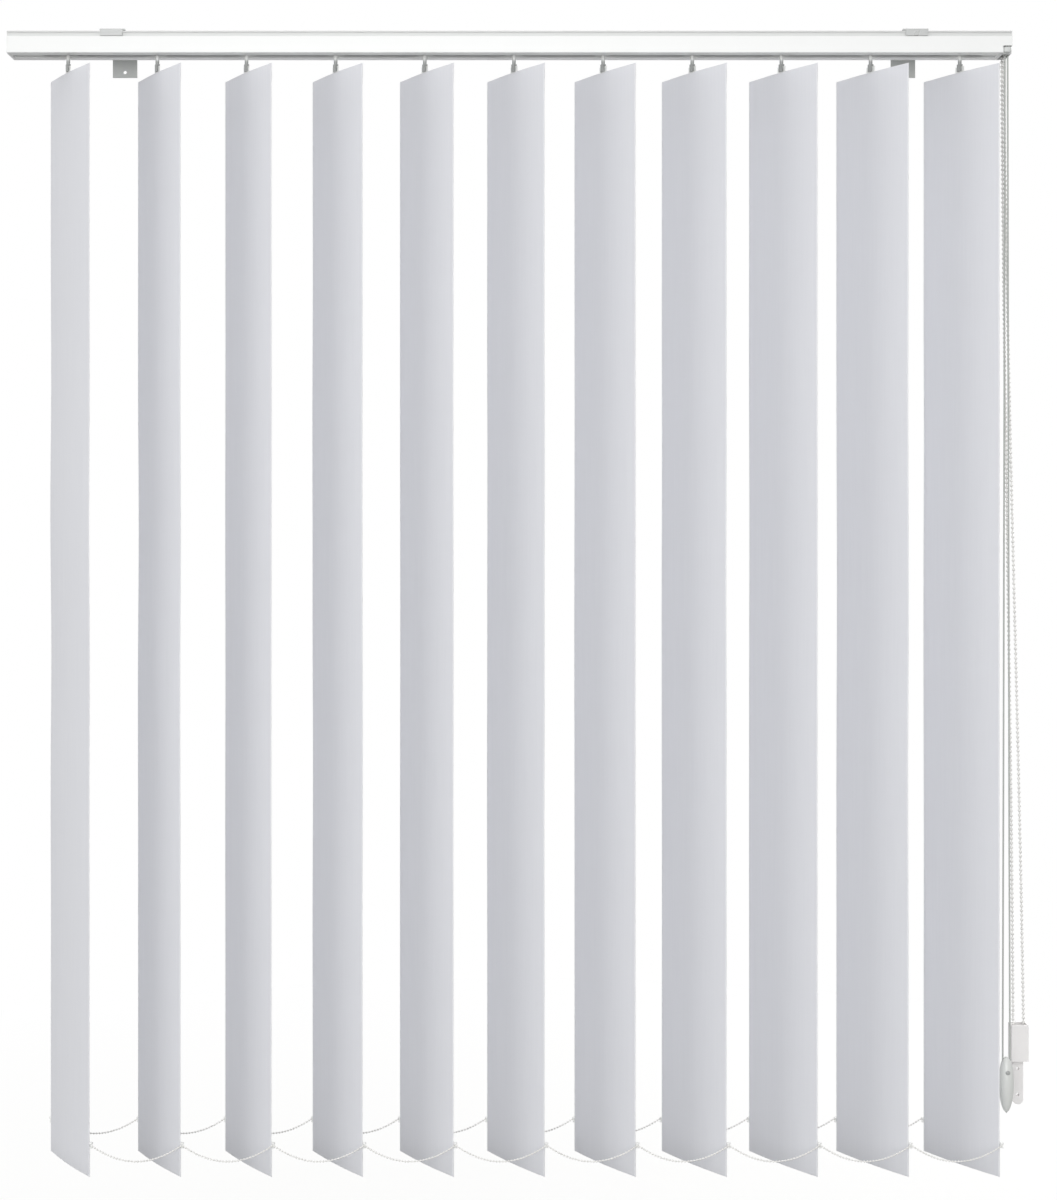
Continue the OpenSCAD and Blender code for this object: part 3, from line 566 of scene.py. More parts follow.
def close_sides(vane, u, v, z):
    """Draws a pocket's back layer to the front along the vane's sides, but not at the chain clips."""
    if vane.hem - CLIP_WINDOW < z < vane.hem - vane.weld:
        return v
    margin = HEM_SIDE if z < vane.hem else POCKET_SIDE
    share = min(1, (vane.width / 2 - abs(u)) / margin)
    return (v + vane.layer) * max(share, vane.cloth / (2 * vane.layer)) - vane.layer


def cloth_mesh(name, vane, rng):
    """A vane's fabric as one strip with a UV map in metres, and the length that it was cut to."""
    route, (fold_start, fold_end) = strip_route(vane)
    stations = across(vane)
    radius = bow_radius(vane)
    stray = waver(vane, rng)
    reach = [0.0]
    for (v0, z0), (v1, z1) in zip(route, route[1:]):
        reach.append(reach[-1] + math.hypot(v1 - v0, z1 - z0))
    build = bmesh.new()
    layer = build.loops.layers.uv.new("UVMap")
    rows = []
    for v, z in route:
        rows.append([build.verts.new((u, close_sides(vane, u, v, z) + u * u / (2 * radius) + stray(u, z), z))
                     for u in stations])
    half_slit = vane.slit / 2 - TOUCHING
    for r in range(len(rows) - 1):
        for k in range(len(stations) - 1):
            middle = (stations[k] + stations[k + 1]) / 2
            if fold_start < r < fold_end - 2 and abs(middle) < half_slit:
                continue
            face = build.faces.new((rows[r][k], rows[r][k + 1], rows[r + 1][k + 1], rows[r + 1][k]))
            face.smooth = True
            for loop, (i, j) in zip(face.loops, ((r, k), (r, k + 1), (r + 1, k + 1), (r + 1, k))):
                loop[layer].uv = (stations[j] + vane.width / 2, reach[i])
    return mesh_of(build, name), reach[-1]


def thicken(obj, thickness):
    """Gives a sheet its thickness and keeps the result as its mesh."""
    wall = obj.modifiers.new("Thickness", "SOLIDIFY")
    wall.thickness = thickness
    wall.offset = 0
    wall.use_even_offset = True
    evaluated = obj.evaluated_get(bpy.context.evaluated_depsgraph_get())
    mesh = bpy.data.meshes.new_from_object(evaluated)
    obj.modifiers.remove(wall)
    obj.data = mesh


def fittings_mesh(name, node_name):
    """The hanger and the bottom weight of a vane, taken from its solids without the fabric's own."""
    build = bmesh.new()
    build.from_mesh(frame["nodes"][node_name].data)
    bmesh.ops.remove_doubles(build, verts=build.verts, dist=TOUCHING)
    islands, seen = [], set()
    for start in build.verts:
        if start in seen:
            continue
        stack, island = [start], []
        seen.add(start)
        while stack:
            vert = stack.pop()
            island.append(vert)
            for edge in vert.link_edges:
                other = edge.other_vert(vert)
                if other not in seen:
                    seen.add(other)
                    stack.append(other)
        islands.append(island)
    tallest = max(islands, key=lambda part: max(v.co.z for v in part) - min(v.co.z for v in part))
    bmesh.ops.delete(build, geom=tallest, context="VERTS")
    return mesh_of(build, name)


# Trees of nodes for what is strung or wound
def size_inputs(tree, sizes):
    """Adds a named input to a tree for each (label, size)."""
    for label, size in sizes:
        socket = tree.interface.new_socket(label, in_out="INPUT", socket_type="NodeSocketFloat")
        socket.default_value = size


def end_tree(tree, material, source, output):
    """Ends a tree in real geometry with one material."""
    real = node(tree, "GeometryNodeRealizeInstances", {}, {"Geometry": (source, output)})
    coated = node(tree, "GeometryNodeSetMaterial", {"Material": material}, {"Geometry": (real, "Geometry")})
    node(tree, "NodeGroupOutput", {}, {"Geometry": (coated, "Geometry")})
    return tree


def from_tree(obj, tree):
    """Runs a tree on an object with its inputs as they stand, and returns the result as a plain mesh."""
    modifier = obj.modifiers.new(tree.name, "NODES")
    modifier.node_group = tree
    for socket in tree.interface.items_tree:
        if socket.in_out == "INPUT" and socket.socket_type == "NodeSocketFloat":
            modifier[socket.identifier] = socket.default_value
    evaluated = obj.evaluated_get(bpy.context.evaluated_depsgraph_get())
    mesh = smooth(bpy.data.meshes.new_from_object(evaluated))
    obj.modifiers.remove(modifier)
    bpy.data.objects.remove(obj)
    return mesh


def open_curve(name, routes):
    """A curve object with one open spline for each route."""
    curve = bpy.data.curves.new(name, "CURVE")
    curve.dimensions = "3D"
    for route in routes:
        spline = curve.splines.new("POLY")
        spline.points.add(len(route) - 1)
        for point, place in zip(spline.points, route):
            point.co = (*place, 1)
    obj = bpy.data.objects.new(name, curve)
    bpy.context.scene.collection.objects.link(obj)
    return obj


# Bead chains

# Faces of a bead and of its thread; there are about a thousand beads
BEAD_SEGMENTS, BEAD_RINGS, THREAD_SIDES = 10, 6, 6
# How far the tilt chain's middle lies inside the sprocket's rim
SPROCKET_SEAT = 0.0008
# The chain holder's back and front walls, and its saddle below its top
HOLDER_BACK, HOLDER_FRONT = 0.0025, 0.0012
SADDLE_DROP = 0.032
SADDLE_R = 0.007
# How late a strand swings from the sprocket to the saddle
STRAND_BEND = 1.6
STRAND_STEPS = 24
# Where the tilt chain's ends meet and the gap between them, as shares of a strand
CHAIN_JOINT = 0.55
CHAIN_JOINT_GAP = 0.004
# A bottom chain's way from a clip's waist to the clip's outer side: (along the rail, outwards)
CLIP_EXIT = ((0.0008, 0.0006), (0.0011, 0.0017), (0.0017, 0.0026), (0.0028, 0.0032))
# How far out a bottom chain then runs, and where it has come free of the clip
CHAIN_OUT = 0.0034
CHAIN_FREE = 0.0045
# The level stretch of a bottom chain at each clip
CHAIN_LEVEL = 0.002
SPAN_STEPS = 16


def bead_tree(name, material, sizes):
    """A tree that strings beads along every spline of a curve, on a round thread with bare ends."""
    tree = bpy.data.node_groups.new(name, "GeometryNodeTree")
    tree.interface.new_socket("Geometry", in_out="INPUT", socket_type="NodeSocketGeometry")
    size_inputs(tree, zip(("Bead Diameter", "Bead Spacing", "Thread Diameter", "Bare End"), sizes))
    tree.interface.new_socket("Geometry", in_out="OUTPUT", socket_type="NodeSocketGeometry")
    given = node(tree, "NodeGroupInput")
    bead_r, thread_r = [node(tree, "ShaderNodeMath", {"operation": "DIVIDE", 1: 2}, {0: (given, label)})
                        for label in ("Bead Diameter", "Thread Diameter")]
    whole = node(tree, "GeometryNodeSplineLength")
    last = node(tree, "ShaderNodeMath", {"operation": "SUBTRACT"},
                {0: (whole, "Length"), 1: (given, "Bare End")})
    # A Trim Curve node lists its ends twice: as shares at 2 and 3, as lengths at 4 and 5
    beaded = node(tree, "GeometryNodeTrimCurve", {"mode": "LENGTH"},
                  {"Curve": (given, "Geometry"), 4: (given, "Bare End"), 5: (last, "Value")})
    spaced = node(tree, "GeometryNodeResampleCurve", {"mode": "LENGTH"},
                  {"Curve": (beaded, "Curve"), "Length": (given, "Bead Spacing")})
    ball = node(tree, "GeometryNodeMeshUVSphere", {"Segments": BEAD_SEGMENTS, "Rings": BEAD_RINGS},
                {"Radius": (bead_r, "Value")})
    strung = node(tree, "GeometryNodeInstanceOnPoints", {},
                  {"Points": (spaced, "Curve"), "Instance": (ball, "Mesh")})
    ring = node(tree, "GeometryNodeCurvePrimitiveCircle", {"Resolution": THREAD_SIDES},
                {"Radius": (thread_r, "Value")})
    string = node(tree, "GeometryNodeCurveToMesh", {"Fill Caps": True},
                  {"Curve": (given, "Geometry"), "Profile Curve": (ring, "Curve")})
    both = node(tree, "GeometryNodeJoinGeometry")
    tree.links.new(strung.outputs["Instances"], both.inputs["Geometry"])
    tree.links.new(string.outputs["Mesh"], both.inputs["Geometry"])
    return end_tree(tree, material, both, "Geometry")


def string_beads(name, routes, body, sizes):
    """Strings beads along routes, and keeps the result as a plain mesh."""
    guide = open_curve(name + "_route", routes)
    mesh = from_tree(guide, bead_tree(name + "_beads", finish_of(bead_resin), sizes))
    mesh.name = name
    return add_piece(name, mesh, bead_resin, body)


def tilt_chain_route():
    """Round the sprocket, down both strands and under the holder's saddle, as the solid chain runs."""
    centre = (SPROCKET_LOW + SPROCKET_HIGH) / 2
    around = (SPROCKET_HIGH.z - SPROCKET_LOW.z) / 2 - SPROCKET_SEAT
    back, front = HOLDER_HIGH.y - HOLDER_BACK, HOLDER_LOW.y + HOLDER_FRONT
    saddle = Vector(((HOLDER_LOW.x + HOLDER_HIGH.x) / 2, (back + front) / 2, HOLDER_HIGH.z - SADDLE_DROP))

    def strand(side, t):
        """A point of the strand that starts behind (1) or before (-1) the rod, at a share of its drop."""
        swing = t ** STRAND_BEND
        y0 = centre.y + side * around
        return Vector((centre.x + (saddle.x - side * SADDLE_R - centre.x) * swing,
                       y0 + (saddle.y - y0) * swing * swing,
                       centre.z + (saddle.z - centre.z) * t))

    steps = STRAND_STEPS
    turns = half_turn(TURN_STEPS)[1:-1]
    rest = 1 - CHAIN_JOINT - CHAIN_JOINT_GAP
    route = [strand(1, CHAIN_JOINT * (1 - k / steps)) for k in range(steps + 1)]
    route += [centre + Vector((0, around * math.cos(a), around * math.sin(a))) for a in turns]
    route += [strand(-1, k / (2 * steps)) for k in range(2 * steps + 1)]
    route += [saddle + Vector((SADDLE_R * math.cos(a), 0, -SADDLE_R * math.sin(a))) for a in turns]
    route += [strand(1, 1 - rest * k / steps) for k in range(steps + 1)]
    return route


def bottom_chain_routes(side):
    """One shallow curve for each pair of neighbours, outside the clips so that it stays off the fabric."""
    sag = bpy.context.scene.blind_chains.sag
    free = PITCH - 2 * CHAIN_FREE
    plan = list(CLIP_EXIT)
    plan += [(CHAIN_FREE + free * k / SPAN_STEPS, CHAIN_OUT) for k in range(SPAN_STEPS + 1)]
    plan += [(PITCH - along, out) for along, out in reversed(CLIP_EXIT)]
    routes = []
    for body in VANES[:-1]:
        clip = clip_place(body, side)
        route = []
        for along, out in plan:
            f = min(max((along - CHAIN_LEVEL) / (PITCH - 2 * CHAIN_LEVEL), 0), 1)
            route.append(clip + Vector((along, -side * out, -4 * sag * f * (1 - f))))
        routes.append(route)
    return routes


# Worm threads

# One start, whose lead is the spacing of the hook wheel's teeth
WORM_LEAD = 0.002356
WORM_TURNS = 6
WORM_LENGTH = WORM_LEAD * WORM_TURNS
# Radius at which the thread is wound, and radius of the thread itself
WORM_R = 0.0039
WORM_THREAD_R = 0.0005
WORM_STEPS, WORM_THREAD_SIDES = 24, 8
# Turns the thread so that it lies between two teeth at rest
WORM_PHASE = math.radians(68.5)


def thread_tree(material):
    """A tree that sweeps a round thread along a helix."""
    tree = bpy.data.node_groups.new("worm_thread", "GeometryNodeTree")
    size_inputs(tree, (("Thread Radius", WORM_R), ("Thread Size", WORM_THREAD_R),
                       ("Thread Length", WORM_LENGTH), ("Turns", float(WORM_TURNS))))
    tree.interface.new_socket("Geometry", in_out="OUTPUT", socket_type="NodeSocketGeometry")
    given = node(tree, "NodeGroupInput")
    helix = node(tree, "GeometryNodeCurveSpiral", {"Resolution": WORM_STEPS},
                 {"Rotations": (given, "Turns"), "Start Radius": (given, "Thread Radius"),
                  "End Radius": (given, "Thread Radius"), "Height": (given, "Thread Length")})
    ring = node(tree, "GeometryNodeCurvePrimitiveCircle", {"Resolution": WORM_THREAD_SIDES},
                {"Radius": (given, "Thread Size")})
    swept = node(tree, "GeometryNodeCurveToMesh", {"Fill Caps": True},
                 {"Curve": (helix, "Curve"), "Profile Curve": (ring, "Curve")})
    return end_tree(tree, material, swept, "Mesh")


def worm_thread_mesh():
    """A worm's thread along X, with its middle at the origin."""
    blank = bpy.data.objects.new("worm_blank", bpy.data.meshes.new("worm_blank"))
    bpy.context.scene.collection.objects.link(blank)
    mesh = from_tree(blank, thread_tree(finish_of(moulded_abs)))
    along_x = Matrix(((0, 0, 1, -WORM_LENGTH / 2), (1, 0, 0, 0), (0, 1, 0, 0), (0, 0, 0, 1)))
    mesh.transform(Matrix.Rotation(WORM_PHASE, 4, "X") @ along_x)
    return mesh


# Traverse cord, which leaves the control cap at two eyes, goes round the weight's pin and comes back

# How far the cord hangs in front of the hooks, and the pin's height above the bottom of the weight
CORD_FORWARD = 0.006
PIN_HEIGHT = 0.053
CORD_X = (BULB_LOW.x + BULB_HIGH.x) / 2
CORD_Y = HOOK_Y - CORD_FORWARD
CAP_FLOOR = RAIL_LOW.z
PIN_Z = BULB_LOW.z + PIN_HEIGHT
# Half the distance between the eyes, and how far the cord goes up into them
EYE_HALF = 0.00175
EYE_DEPTH = 0.016
# Radius of the cord's turn round the pin
LOOP_R = 0.0046
# How the strands spread on their way down: (share of the drop, share of the spread)
CORD_SPREAD = ((0.25, 0.2), (0.5, 0.45), (0.75, 0.7), (0.95, 0.97))
# The runs in the rail: height above its underside, and distance to each side of the hooks
LANE_HEIGHT = 0.023
LANE_Z = RAIL_LOW.z + LANE_HEIGHT
LANE_Y = 0.013
# The pulley's distance from the end of the rail, and a run's end from the middle of the cord clamp
PULLEY_INSET = 0.020
CLAMPED_END = 0.001
# Distance between the points of a cord's smooth route
CORD_STEP = 0.004
# The cord guide's corners, from the right, front, bottom corner of the control cap
GUIDE_FROM = Vector((-0.0111, 0.0004, 0.0004))
GUIDE_TO = Vector((-0.0006, 0.0085, 0.0087))
GUIDE_ROUND = 0.0026
GUIDE_ROUND_STEPS = 5
# Half section of an end of the pin: (distance from the pin's axis, distance from the weight's axis)
PIN_END = ((0, 0.00945), (0.0016, 0.00932), (0.0026, 0.00892),
           (0.0031, 0.0082), (0.0031, 0.0072), (0, 0.0072))
PIN_STEPS = 24


def smooth_route(points):
    """A closer route through the points that rounds its corners and never swings past them."""
    spans = [(b - a).length for a, b in zip(points, points[1:])]
    last = len(points) - 1
    headings = []
    for k in range(last + 1):
        before, after = max(k - 1, 0), min(k + 1, last)
        reach = min(spans[before], spans[min(k, last - 1)])
        headings.append((points[after] - points[before]).normalized() * reach)
    out = []
    for k in range(last):
        count = max(1, round(spans[k] / CORD_STEP))
        for i in range(count):
            t = i / count
            out.append(points[k] * (2 * t ** 3 - 3 * t ** 2 + 1) + headings[k] * (t ** 3 - 2 * t ** 2 + t)
                       + points[k + 1] * (3 * t ** 2 - 2 * t ** 3) + headings[k + 1] * (t ** 3 - t ** 2))
    out.append(points[-1])
    return out


def cord_strand(side):
    """The left (-1) or right (1) strand of the hanging loop, from its eye down to the weight."""
    drop = CAP_FLOOR - PIN_Z
    plan = [(EYE_HALF, CAP_FLOOR + EYE_DEPTH), (EYE_HALF, CAP_FLOOR)]
    plan += [(EYE_HALF + (LOOP_R - EYE_HALF) * s, CAP_FLOOR - drop * t) for t, s in CORD_SPREAD]
    return [Vector((CORD_X + side * out, CORD_Y, z)) for out, z in plan]


def cord_loop():
    """The hanging loop, from one eye round the weight's pin to the other."""
    around = [Vector((CORD_X - LOOP_R * math.cos(a), CORD_Y, PIN_Z - LOOP_R * math.sin(a)))
              for a in half_turn(TURN_STEPS)]
    return cord_strand(-1) + around + cord_strand(1)[::-1]


def cord_lanes():
    """The runs inside the rail: from the lead carrier's clamp to each eye, one of them round the pulley."""
    clamp = FIRST_HOOK.x
    end = RAIL_HIGH.x
    pulley_x = RAIL_LOW.x + PULLEY_INSET
    front = [(clamp + CLAMPED_END, -LANE_Y, 0), (end - 0.014, -LANE_Y, 0), (end - 0.004, -0.012, 0),
             (end + 0.003, -0.009, 0), (end + 0.007, -0.007, -0.002), (CORD_X - EYE_HALF, -0.006, -0.007)]
    rear = [(CORD_X + EYE_HALF, -0.006, -0.007), (CORD_X - 0.001, -0.0045, -0.0015),
            (CORD_X - 0.006, -0.0005, 0), (end + 0.002, 0.006, 0), (end - 0.006, 0.011, 0),
            (end - 0.016, LANE_Y, 0)]
    rear += [(pulley_x - LANE_Y * math.sin(a), LANE_Y * math.cos(a), 0) for a in half_turn(PULLEY_STEPS)]
    rear += [(clamp - CLAMPED_END, -LANE_Y, 0)]
    return [[Vector((x, HOOK_Y + y, LANE_Z + z)) for x, y, z in run] for run in (front, rear)]


def round_cord(name, routes, diameter):
    """A curve with a round section for each route."""
    obj = open_curve(name, routes)
    obj.data.bevel_depth = diameter / 2
    obj.data.bevel_resolution = 2
    obj.data.use_fill_caps = True
    obj.data.materials.append(finish_of(braided_polyester))
    return obj


def cord_guide_mesh():
    """A rounded guide in the corner window of the control cap, where the cord comes out."""
    corner = Vector((CAP_HIGH.x, CAP_LOW.y, CAP_LOW.z))
    build = bmesh.new()
    bmesh.ops.create_cube(build, size=1)
    bmesh.ops.scale(build, vec=GUIDE_TO - GUIDE_FROM, verts=build.verts)
    bmesh.ops.translate(build, vec=corner + (GUIDE_FROM + GUIDE_TO) / 2, verts=build.verts)
    bmesh.ops.bevel(build, geom=build.edges[:], offset=GUIDE_ROUND, segments=GUIDE_ROUND_STEPS,
                    profile=0.5, affect="EDGES")
    return smooth(mesh_of(build, "cord_guide"))


def pin_ends_mesh():
    """The two domed ends of the pin that the cord goes round in its weight."""
    centre = Vector((CORD_X, CORD_Y, PIN_Z))
    build = bmesh.new()
    for side in (-1, 1):
        rings = []
        for out, reach in PIN_END:
            turns = [math.tau * k / PIN_STEPS for k in range(PIN_STEPS if out else 1)]
            places = [Vector((out * math.cos(a), side * reach, out * math.sin(a))) for a in turns]
            rings.append([build.verts.new(centre + place) for place in places])
        for ring, following in zip(rings, rings[1:]):
            for k in range(PIN_STEPS):
                corners = [ring[k % len(ring)], ring[(k + 1) % len(ring)],
                           following[(k + 1) % len(following)], following[k % len(following)]]
                build.faces.new(list(dict.fromkeys(corners)))
    bmesh.ops.recalc_face_normals(build, faces=build.faces)
    return smooth(mesh_of(build, "weight_pin_ends"))


# Stage

# Lamps: name, place, size of the square in metres and power in watts
LAMPS = (("key", (-0.4, -6.6, 0.35), 3.8, 240),
         ("fill", (-5.4, -2.2, 0.6), 3.6, 60),
         ("behind", (2.4, 3.2, 0.9), 3.0, 80))
LAMP_TARGET = Vector((0, -0.07, -0.7))
# The floor: half its side, its height, its tone, and its darker tone for the light that it throws back
FLOOR_HALF = 6.0
FLOOR_Z = -1.75
FLOOR_TONE = "#F2F2F0"
FLOOR_BOUNCE = "#6C6C6A"
# How white the floor shows near the middle, and where it starts and ends fading to full white
FLOOR_WHITE = 0.6
FADE_START, FADE_END = 0.6, 2.4
# Strength of the world's light from below and from above, and how far from level it has changed fully
WORLD_BELOW, WORLD_ABOVE = 0.06, 0.78
WORLD_BLEND = 0.5
# The camera's place in metres, and its focal length and shifts in pixels of a picture of this height
CAMERA_PLACE = (0, -2.564, -0.6253)
FOCAL, SHIFT_X, SHIFT_Y = 1950.3, 14.5, -60.0
IMAGE_HEIGHT = 1200


def shown_rays(tree, path):
    """What is 1 for rays that show the background: seen, mirrored or refracted."""
    seen = node(tree, "ShaderNodeMath", {"operation": "MAXIMUM"},
                {0: (path, "Is Camera Ray"), 1: (path, "Is Glossy Ray")})
    shown = node(tree, "ShaderNodeMath", {"operation": "MAXIMUM"},
                 {0: (seen, "Value"), 1: (path, "Is Transmission Ray")})
    return shown, "Value"


def pale_floor():
    """A pale floor that keeps the shadow near the blind and fades to white further out."""
    material, tree, shader = surface("pale_floor", linear(FLOOR_TONE), 0.9)
    path = node(tree, "ShaderNodeLightPath")
    tone = node(tree, "ShaderNodeMix", {"data_type": "RGBA", MIX_A: (*linear(FLOOR_TONE), 1),
                                        MIX_B: (*linear(FLOOR_BOUNCE), 1)},
                {"Factor": (path, "Is Diffuse Ray")})
    tree.links.new(tone.outputs[MIX_RESULT], shader.inputs["Base Color"])
    coords = node(tree, "ShaderNodeTexCoord")
    away = node(tree, "ShaderNodeVectorMath", {"operation": "DISTANCE", 1: (0, 0, FLOOR_Z)},
                {0: (coords, "Object")})
    fade = node(tree, "ShaderNodeMapRange",
                {"From Min": FADE_START, "From Max": FADE_END, "To Min": FLOOR_WHITE},
                {"Value": (away, "Value")})
    share = node(tree, "ShaderNodeMath", {"operation": "MULTIPLY"},
                 {0: shown_rays(tree, path), 1: (fade, "Result")})
    white = node(tree, "ShaderNodeEmission", {"Color": (1, 1, 1, 1), "Strength": 1.0})
    mix = node(tree, "ShaderNodeMixShader", {},
               {"Fac": (share, "Value"), 1: (shader, "BSDF"), 2: (white, "Emission")})
    tree.links.new(mix.outputs["Shader"], tree.nodes["Material Output"].inputs["Surface"])
    return material


# Operators
class BLIND_OT_rail(bpy.types.Operator):
    """Finish the headrail, its end caps, brackets, clips and screws"""

    bl_idname = "blind.rail"
    bl_label = "Headrail"

    def execute(self, context):
        finish_node("headrail", powder_coat)
        for name in ("control_end_cap", "return_end_cap"):
            finish_node(name, capped_abs)
        add_piece("cord_guide", cord_guide_mesh(), guide_resin, "rail")
        for name in ("wall_bracket_left", "wall_bracket_right"):
            finish_node(name, painted_steel)
        finish_node("rail_clips", clear_polycarbonate)
        finish_node("clip_screws", zinc_plate)
        return {"FINISHED"}


class BLIND_OT_drive(bpy.types.Operator):
    """Finish the carriers, hooks, worms, tilt rod, sprocket and pulley"""

    bl_idname = "blind.drive"
    bl_label = "Carriers and drive"

    def execute(self, context):
        for name in numbered("carrier") + numbered("worm") + ["chain_sprocket", "return_pulley"]:
            finish_node(name, moulded_abs)
        for name in numbered("hook"):
            finish_node(name, smoked_polycarbonate)
        finish_node("tilt_rod", drawn_aluminium)
        pattern = worm_thread_mesh()
        for name in numbered("worm"):
            low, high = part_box(name)
            mesh = pattern.copy()
            mesh.transform(Matrix.Translation((low + high) / 2))
            add_piece("thread_of_" + name, mesh, moulded_abs, name)
        bpy.data.meshes.remove(pattern)
        return {"FINISHED"}


class BLIND_OT_vanes(bpy.types.Operator):
    """Hang the fabric vanes, each with its hanger and its bottom weight"""

    bl_idname = "blind.vanes"
    bl_label = "Vanes"

    def execute(self, context):
        vane = context.scene.blind_vanes
        rng = random.Random(vane.seed)
        for body in VANES:
            number = body[-2:]
            fittings = add_piece("vane_fittings_" + number, fittings_mesh("vane_fittings", body),
                                 moulded_abs, body)
            mesh, cut = cloth_mesh("vane_cloth", vane, rng)
            mesh.transform(vane_matrix(body))
            cloth = add_piece("vane_cloth_" + number, mesh, woven_polyester, body)
            thicken(cloth, vane.cloth)
            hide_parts(body)
        return {"FINISHED"}


class BLIND_OT_bottom_chains(bpy.types.Operator):
    """String the two chains that tie the vane bottoms together"""

    bl_idname = "blind.bottom_chains"
    bl_label = "Bottom chains"

    def execute(self, context):
        chains = context.scene.blind_chains
        sizes = (chains.small_bead, chains.small_gap, chains.small_thread, chains.bare_end)
        for name, side in (("front", 1), ("rear", -1)):
            chain = string_beads(name + "_chain_beads", bottom_chain_routes(side), name + "_chain", sizes)
            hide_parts(name + "_bottom_chain")
            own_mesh(chain)
        return {"FINISHED"}


class BLIND_OT_tilt_chain(bpy.types.Operator):
    """String the tilt chain and finish its holder"""

    bl_idname = "blind.tilt_chain"
    bl_label = "Tilt chain"

    def execute(self, context):
        chains = context.scene.blind_chains
        # The loop has no bare ends
        sizes = (chains.bead, chains.bead_gap, chains.thread, 0)
        chain = string_beads("tilt_chain_beads", [tilt_chain_route()], "rail", sizes)
        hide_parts("bead_chain")
        finish_node("chain_tensioner", holder_resin)
        return {"FINISHED"}


class BLIND_OT_cord(bpy.types.Operator):
    """Run the traverse cord and finish its weight"""

    bl_idname = "blind.cord"
    bl_label = "Traverse cord"

    def execute(self, context):
        size = context.scene.blind_chains.cord
        finish_node("cord_weight", weight_resin)
        add_piece("weight_pin_ends", pin_ends_mesh(), smoked_polycarbonate, "rail")
        inner = round_cord("cord_in_rail", [smooth_route(run) for run in cord_lanes()], size)
        mesh = smooth(bpy.data.meshes.new_from_object(inner))
        bpy.data.objects.remove(inner)
        add_piece("cord_in_rail", mesh, braided_polyester, "rail")
        route = smooth_route(cord_loop())
        loop = round_cord("traverse_cord_loop", [route], size)
        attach(loop, "rail")
        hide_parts("traverse_cord")
        return {"FINISHED"}


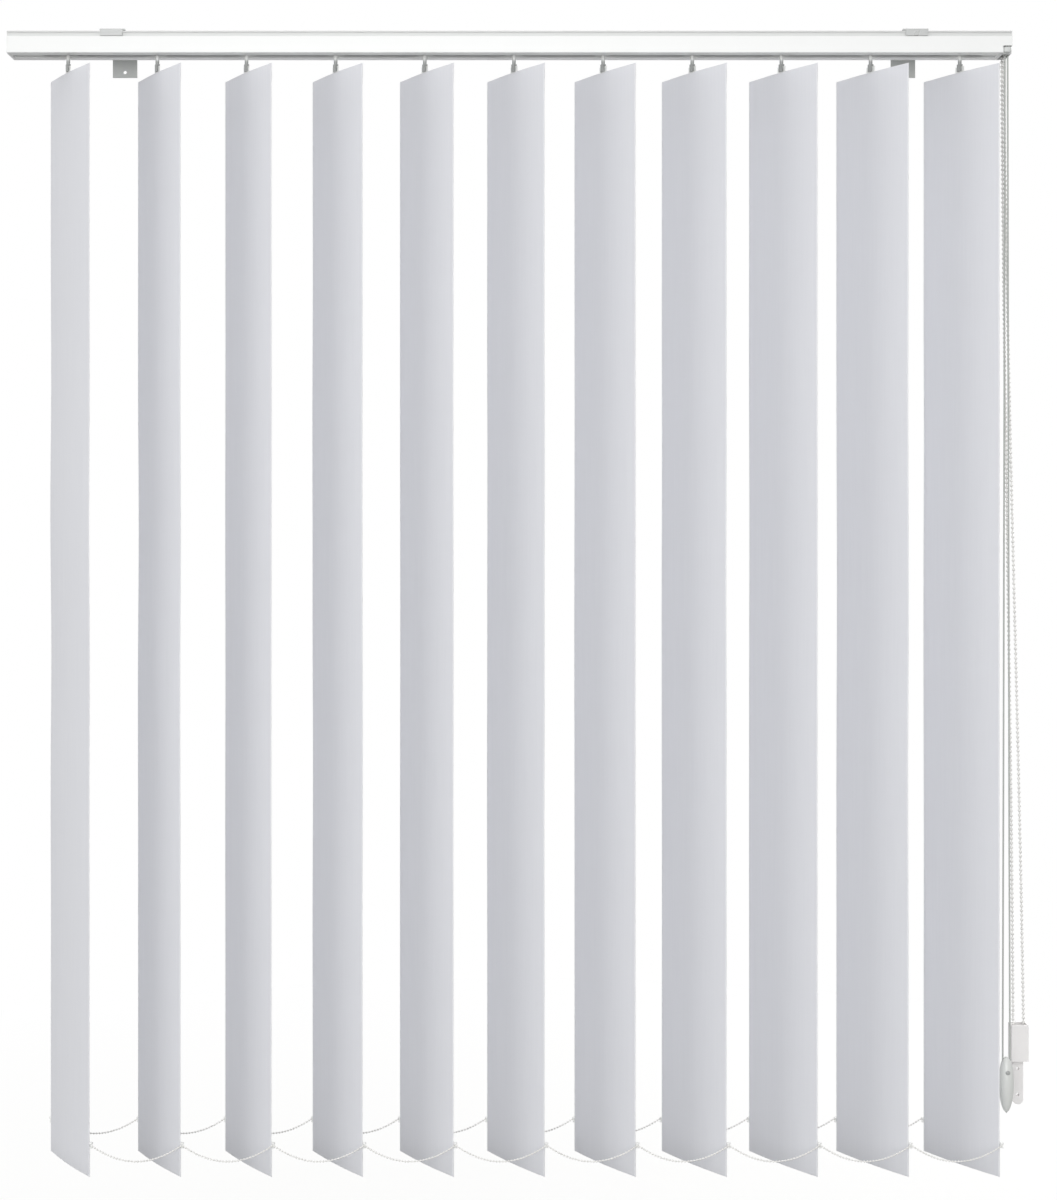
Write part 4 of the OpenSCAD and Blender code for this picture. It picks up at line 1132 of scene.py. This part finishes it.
class BLIND_OT_stage(bpy.types.Operator):
    """Set up the floor, the lights and the camera"""

    bl_idname = "blind.stage"
    bl_label = "Stage"

    def execute(self, context):
        scene = context.scene
        scene.view_settings.view_transform = "Standard"
        self.floor(scene)
        self.world(scene)
        for lamp in LAMPS:
            self.lamp(scene, *lamp)
        self.camera(scene)
        return {"FINISHED"}

    def floor(self, scene):
        mesh = bpy.data.meshes.new("floor")
        corners = ((-1, -1), (1, -1), (1, 1), (-1, 1))
        mesh.from_pydata([(x * FLOOR_HALF, y * FLOOR_HALF, FLOOR_Z) for x, y in corners], [], [(0, 1, 2, 3)])
        mesh.materials.append(pale_floor())
        obj = bpy.data.objects.new("floor", mesh)
        scene.collection.objects.link(obj)

    def world(self, scene):
        """Even light, with a white background for what is seen, mirrored or refracted."""
        world = scene.world or bpy.data.worlds.new("Studio")
        scene.world = world
        world.use_nodes = True
        tree = world.node_tree
        tree.nodes.clear()
        path = node(tree, "ShaderNodeLightPath")
        coords = node(tree, "ShaderNodeTexCoord")
        height = node(tree, "ShaderNodeSeparateXYZ", {}, {"Vector": (coords, "Generated")})
        level = node(tree, "ShaderNodeMapRange",
                     {"From Min": -WORLD_BLEND, "From Max": WORLD_BLEND,
                      "To Min": WORLD_BELOW, "To Max": WORLD_ABOVE},
                     {"Value": (height, "Z")})
        even = node(tree, "ShaderNodeBackground", {"Color": (1, 1, 1, 1)}, {"Strength": (level, "Result")})
        white = node(tree, "ShaderNodeBackground", {"Color": (1, 1, 1, 1), "Strength": 1.0})
        mix = node(tree, "ShaderNodeMixShader", {},
                   {"Fac": shown_rays(tree, path), 1: (even, "Background"), 2: (white, "Background")})
        node(tree, "ShaderNodeOutputWorld", {}, {"Surface": (mix, "Shader")})

    def lamp(self, scene, name, place, size, power):
        """A square lamp that faces the blind."""
        light = bpy.data.lights.new(name, "AREA")
        light.shape = "SQUARE"
        light.size = size
        light.energy = power
        obj = bpy.data.objects.new(name, light)
        obj.location = place
        obj.rotation_euler = (LAMP_TARGET - Vector(place)).to_track_quat("-Z", "Y").to_euler()
        scene.collection.objects.link(obj)

    def camera(self, scene):
        """A level camera that looks straight at the wall."""
        data = bpy.data.cameras.new("camera")
        data.sensor_fit = "AUTO"
        data.sensor_width = 36.0
        data.lens = FOCAL * data.sensor_width / IMAGE_HEIGHT
        data.shift_x = SHIFT_X / IMAGE_HEIGHT
        data.shift_y = SHIFT_Y / IMAGE_HEIGHT
        obj = bpy.data.objects.new("camera", data)
        obj.location = CAMERA_PLACE
        obj.rotation_euler = (math.radians(90), 0, 0)
        scene.collection.objects.link(obj)
        scene.camera = obj


OPERATORS = (BLIND_OT_stage, BLIND_OT_cord, BLIND_OT_rail, BLIND_OT_drive, BLIND_OT_vanes,
             BLIND_OT_bottom_chains, BLIND_OT_tilt_chain)


class BLIND_PT_panel(bpy.types.Panel):
    """The blind's settings and steps"""

    bl_label = "Vertical Blind"
    bl_idname = "BLIND_PT_panel"
    bl_space_type = "VIEW_3D"
    bl_region_type = "UI"
    bl_category = "Blind"

    def draw(self, context):
        for title, group in (("Vanes", context.scene.blind_vanes), ("Chains", context.scene.blind_chains),
                             ("Finishes", context.scene.blind_finishes)):
            box = self.layout.box()
            box.label(text=title)
            for key in group.__annotations__:
                box.prop(group, key)
        for operator in OPERATORS:
            self.layout.operator(operator.bl_idname)


SETTINGS = {"blind_vanes": VaneSettings, "blind_chains": ChainSettings, "blind_finishes": FinishSettings}


def register():
    for cls in (*SETTINGS.values(), *OPERATORS, BLIND_PT_panel):
        bpy.utils.register_class(cls)
    for key, cls in SETTINGS.items():
        setattr(bpy.types.Scene, key, PointerProperty(type=cls))


def unregister():
    for key in SETTINGS:
        delattr(bpy.types.Scene, key)
    for cls in (BLIND_PT_panel, *reversed(OPERATORS), *SETTINGS.values()):
        bpy.utils.unregister_class(cls)


def main():
    register()
    bpy.ops.blind.stage()
    bpy.ops.blind.cord()
    bpy.ops.blind.rail()
    bpy.ops.blind.drive()
    bpy.ops.blind.vanes()
    bpy.ops.blind.bottom_chains()
    bpy.ops.blind.tilt_chain()


if __name__ == "__main__":
    main()
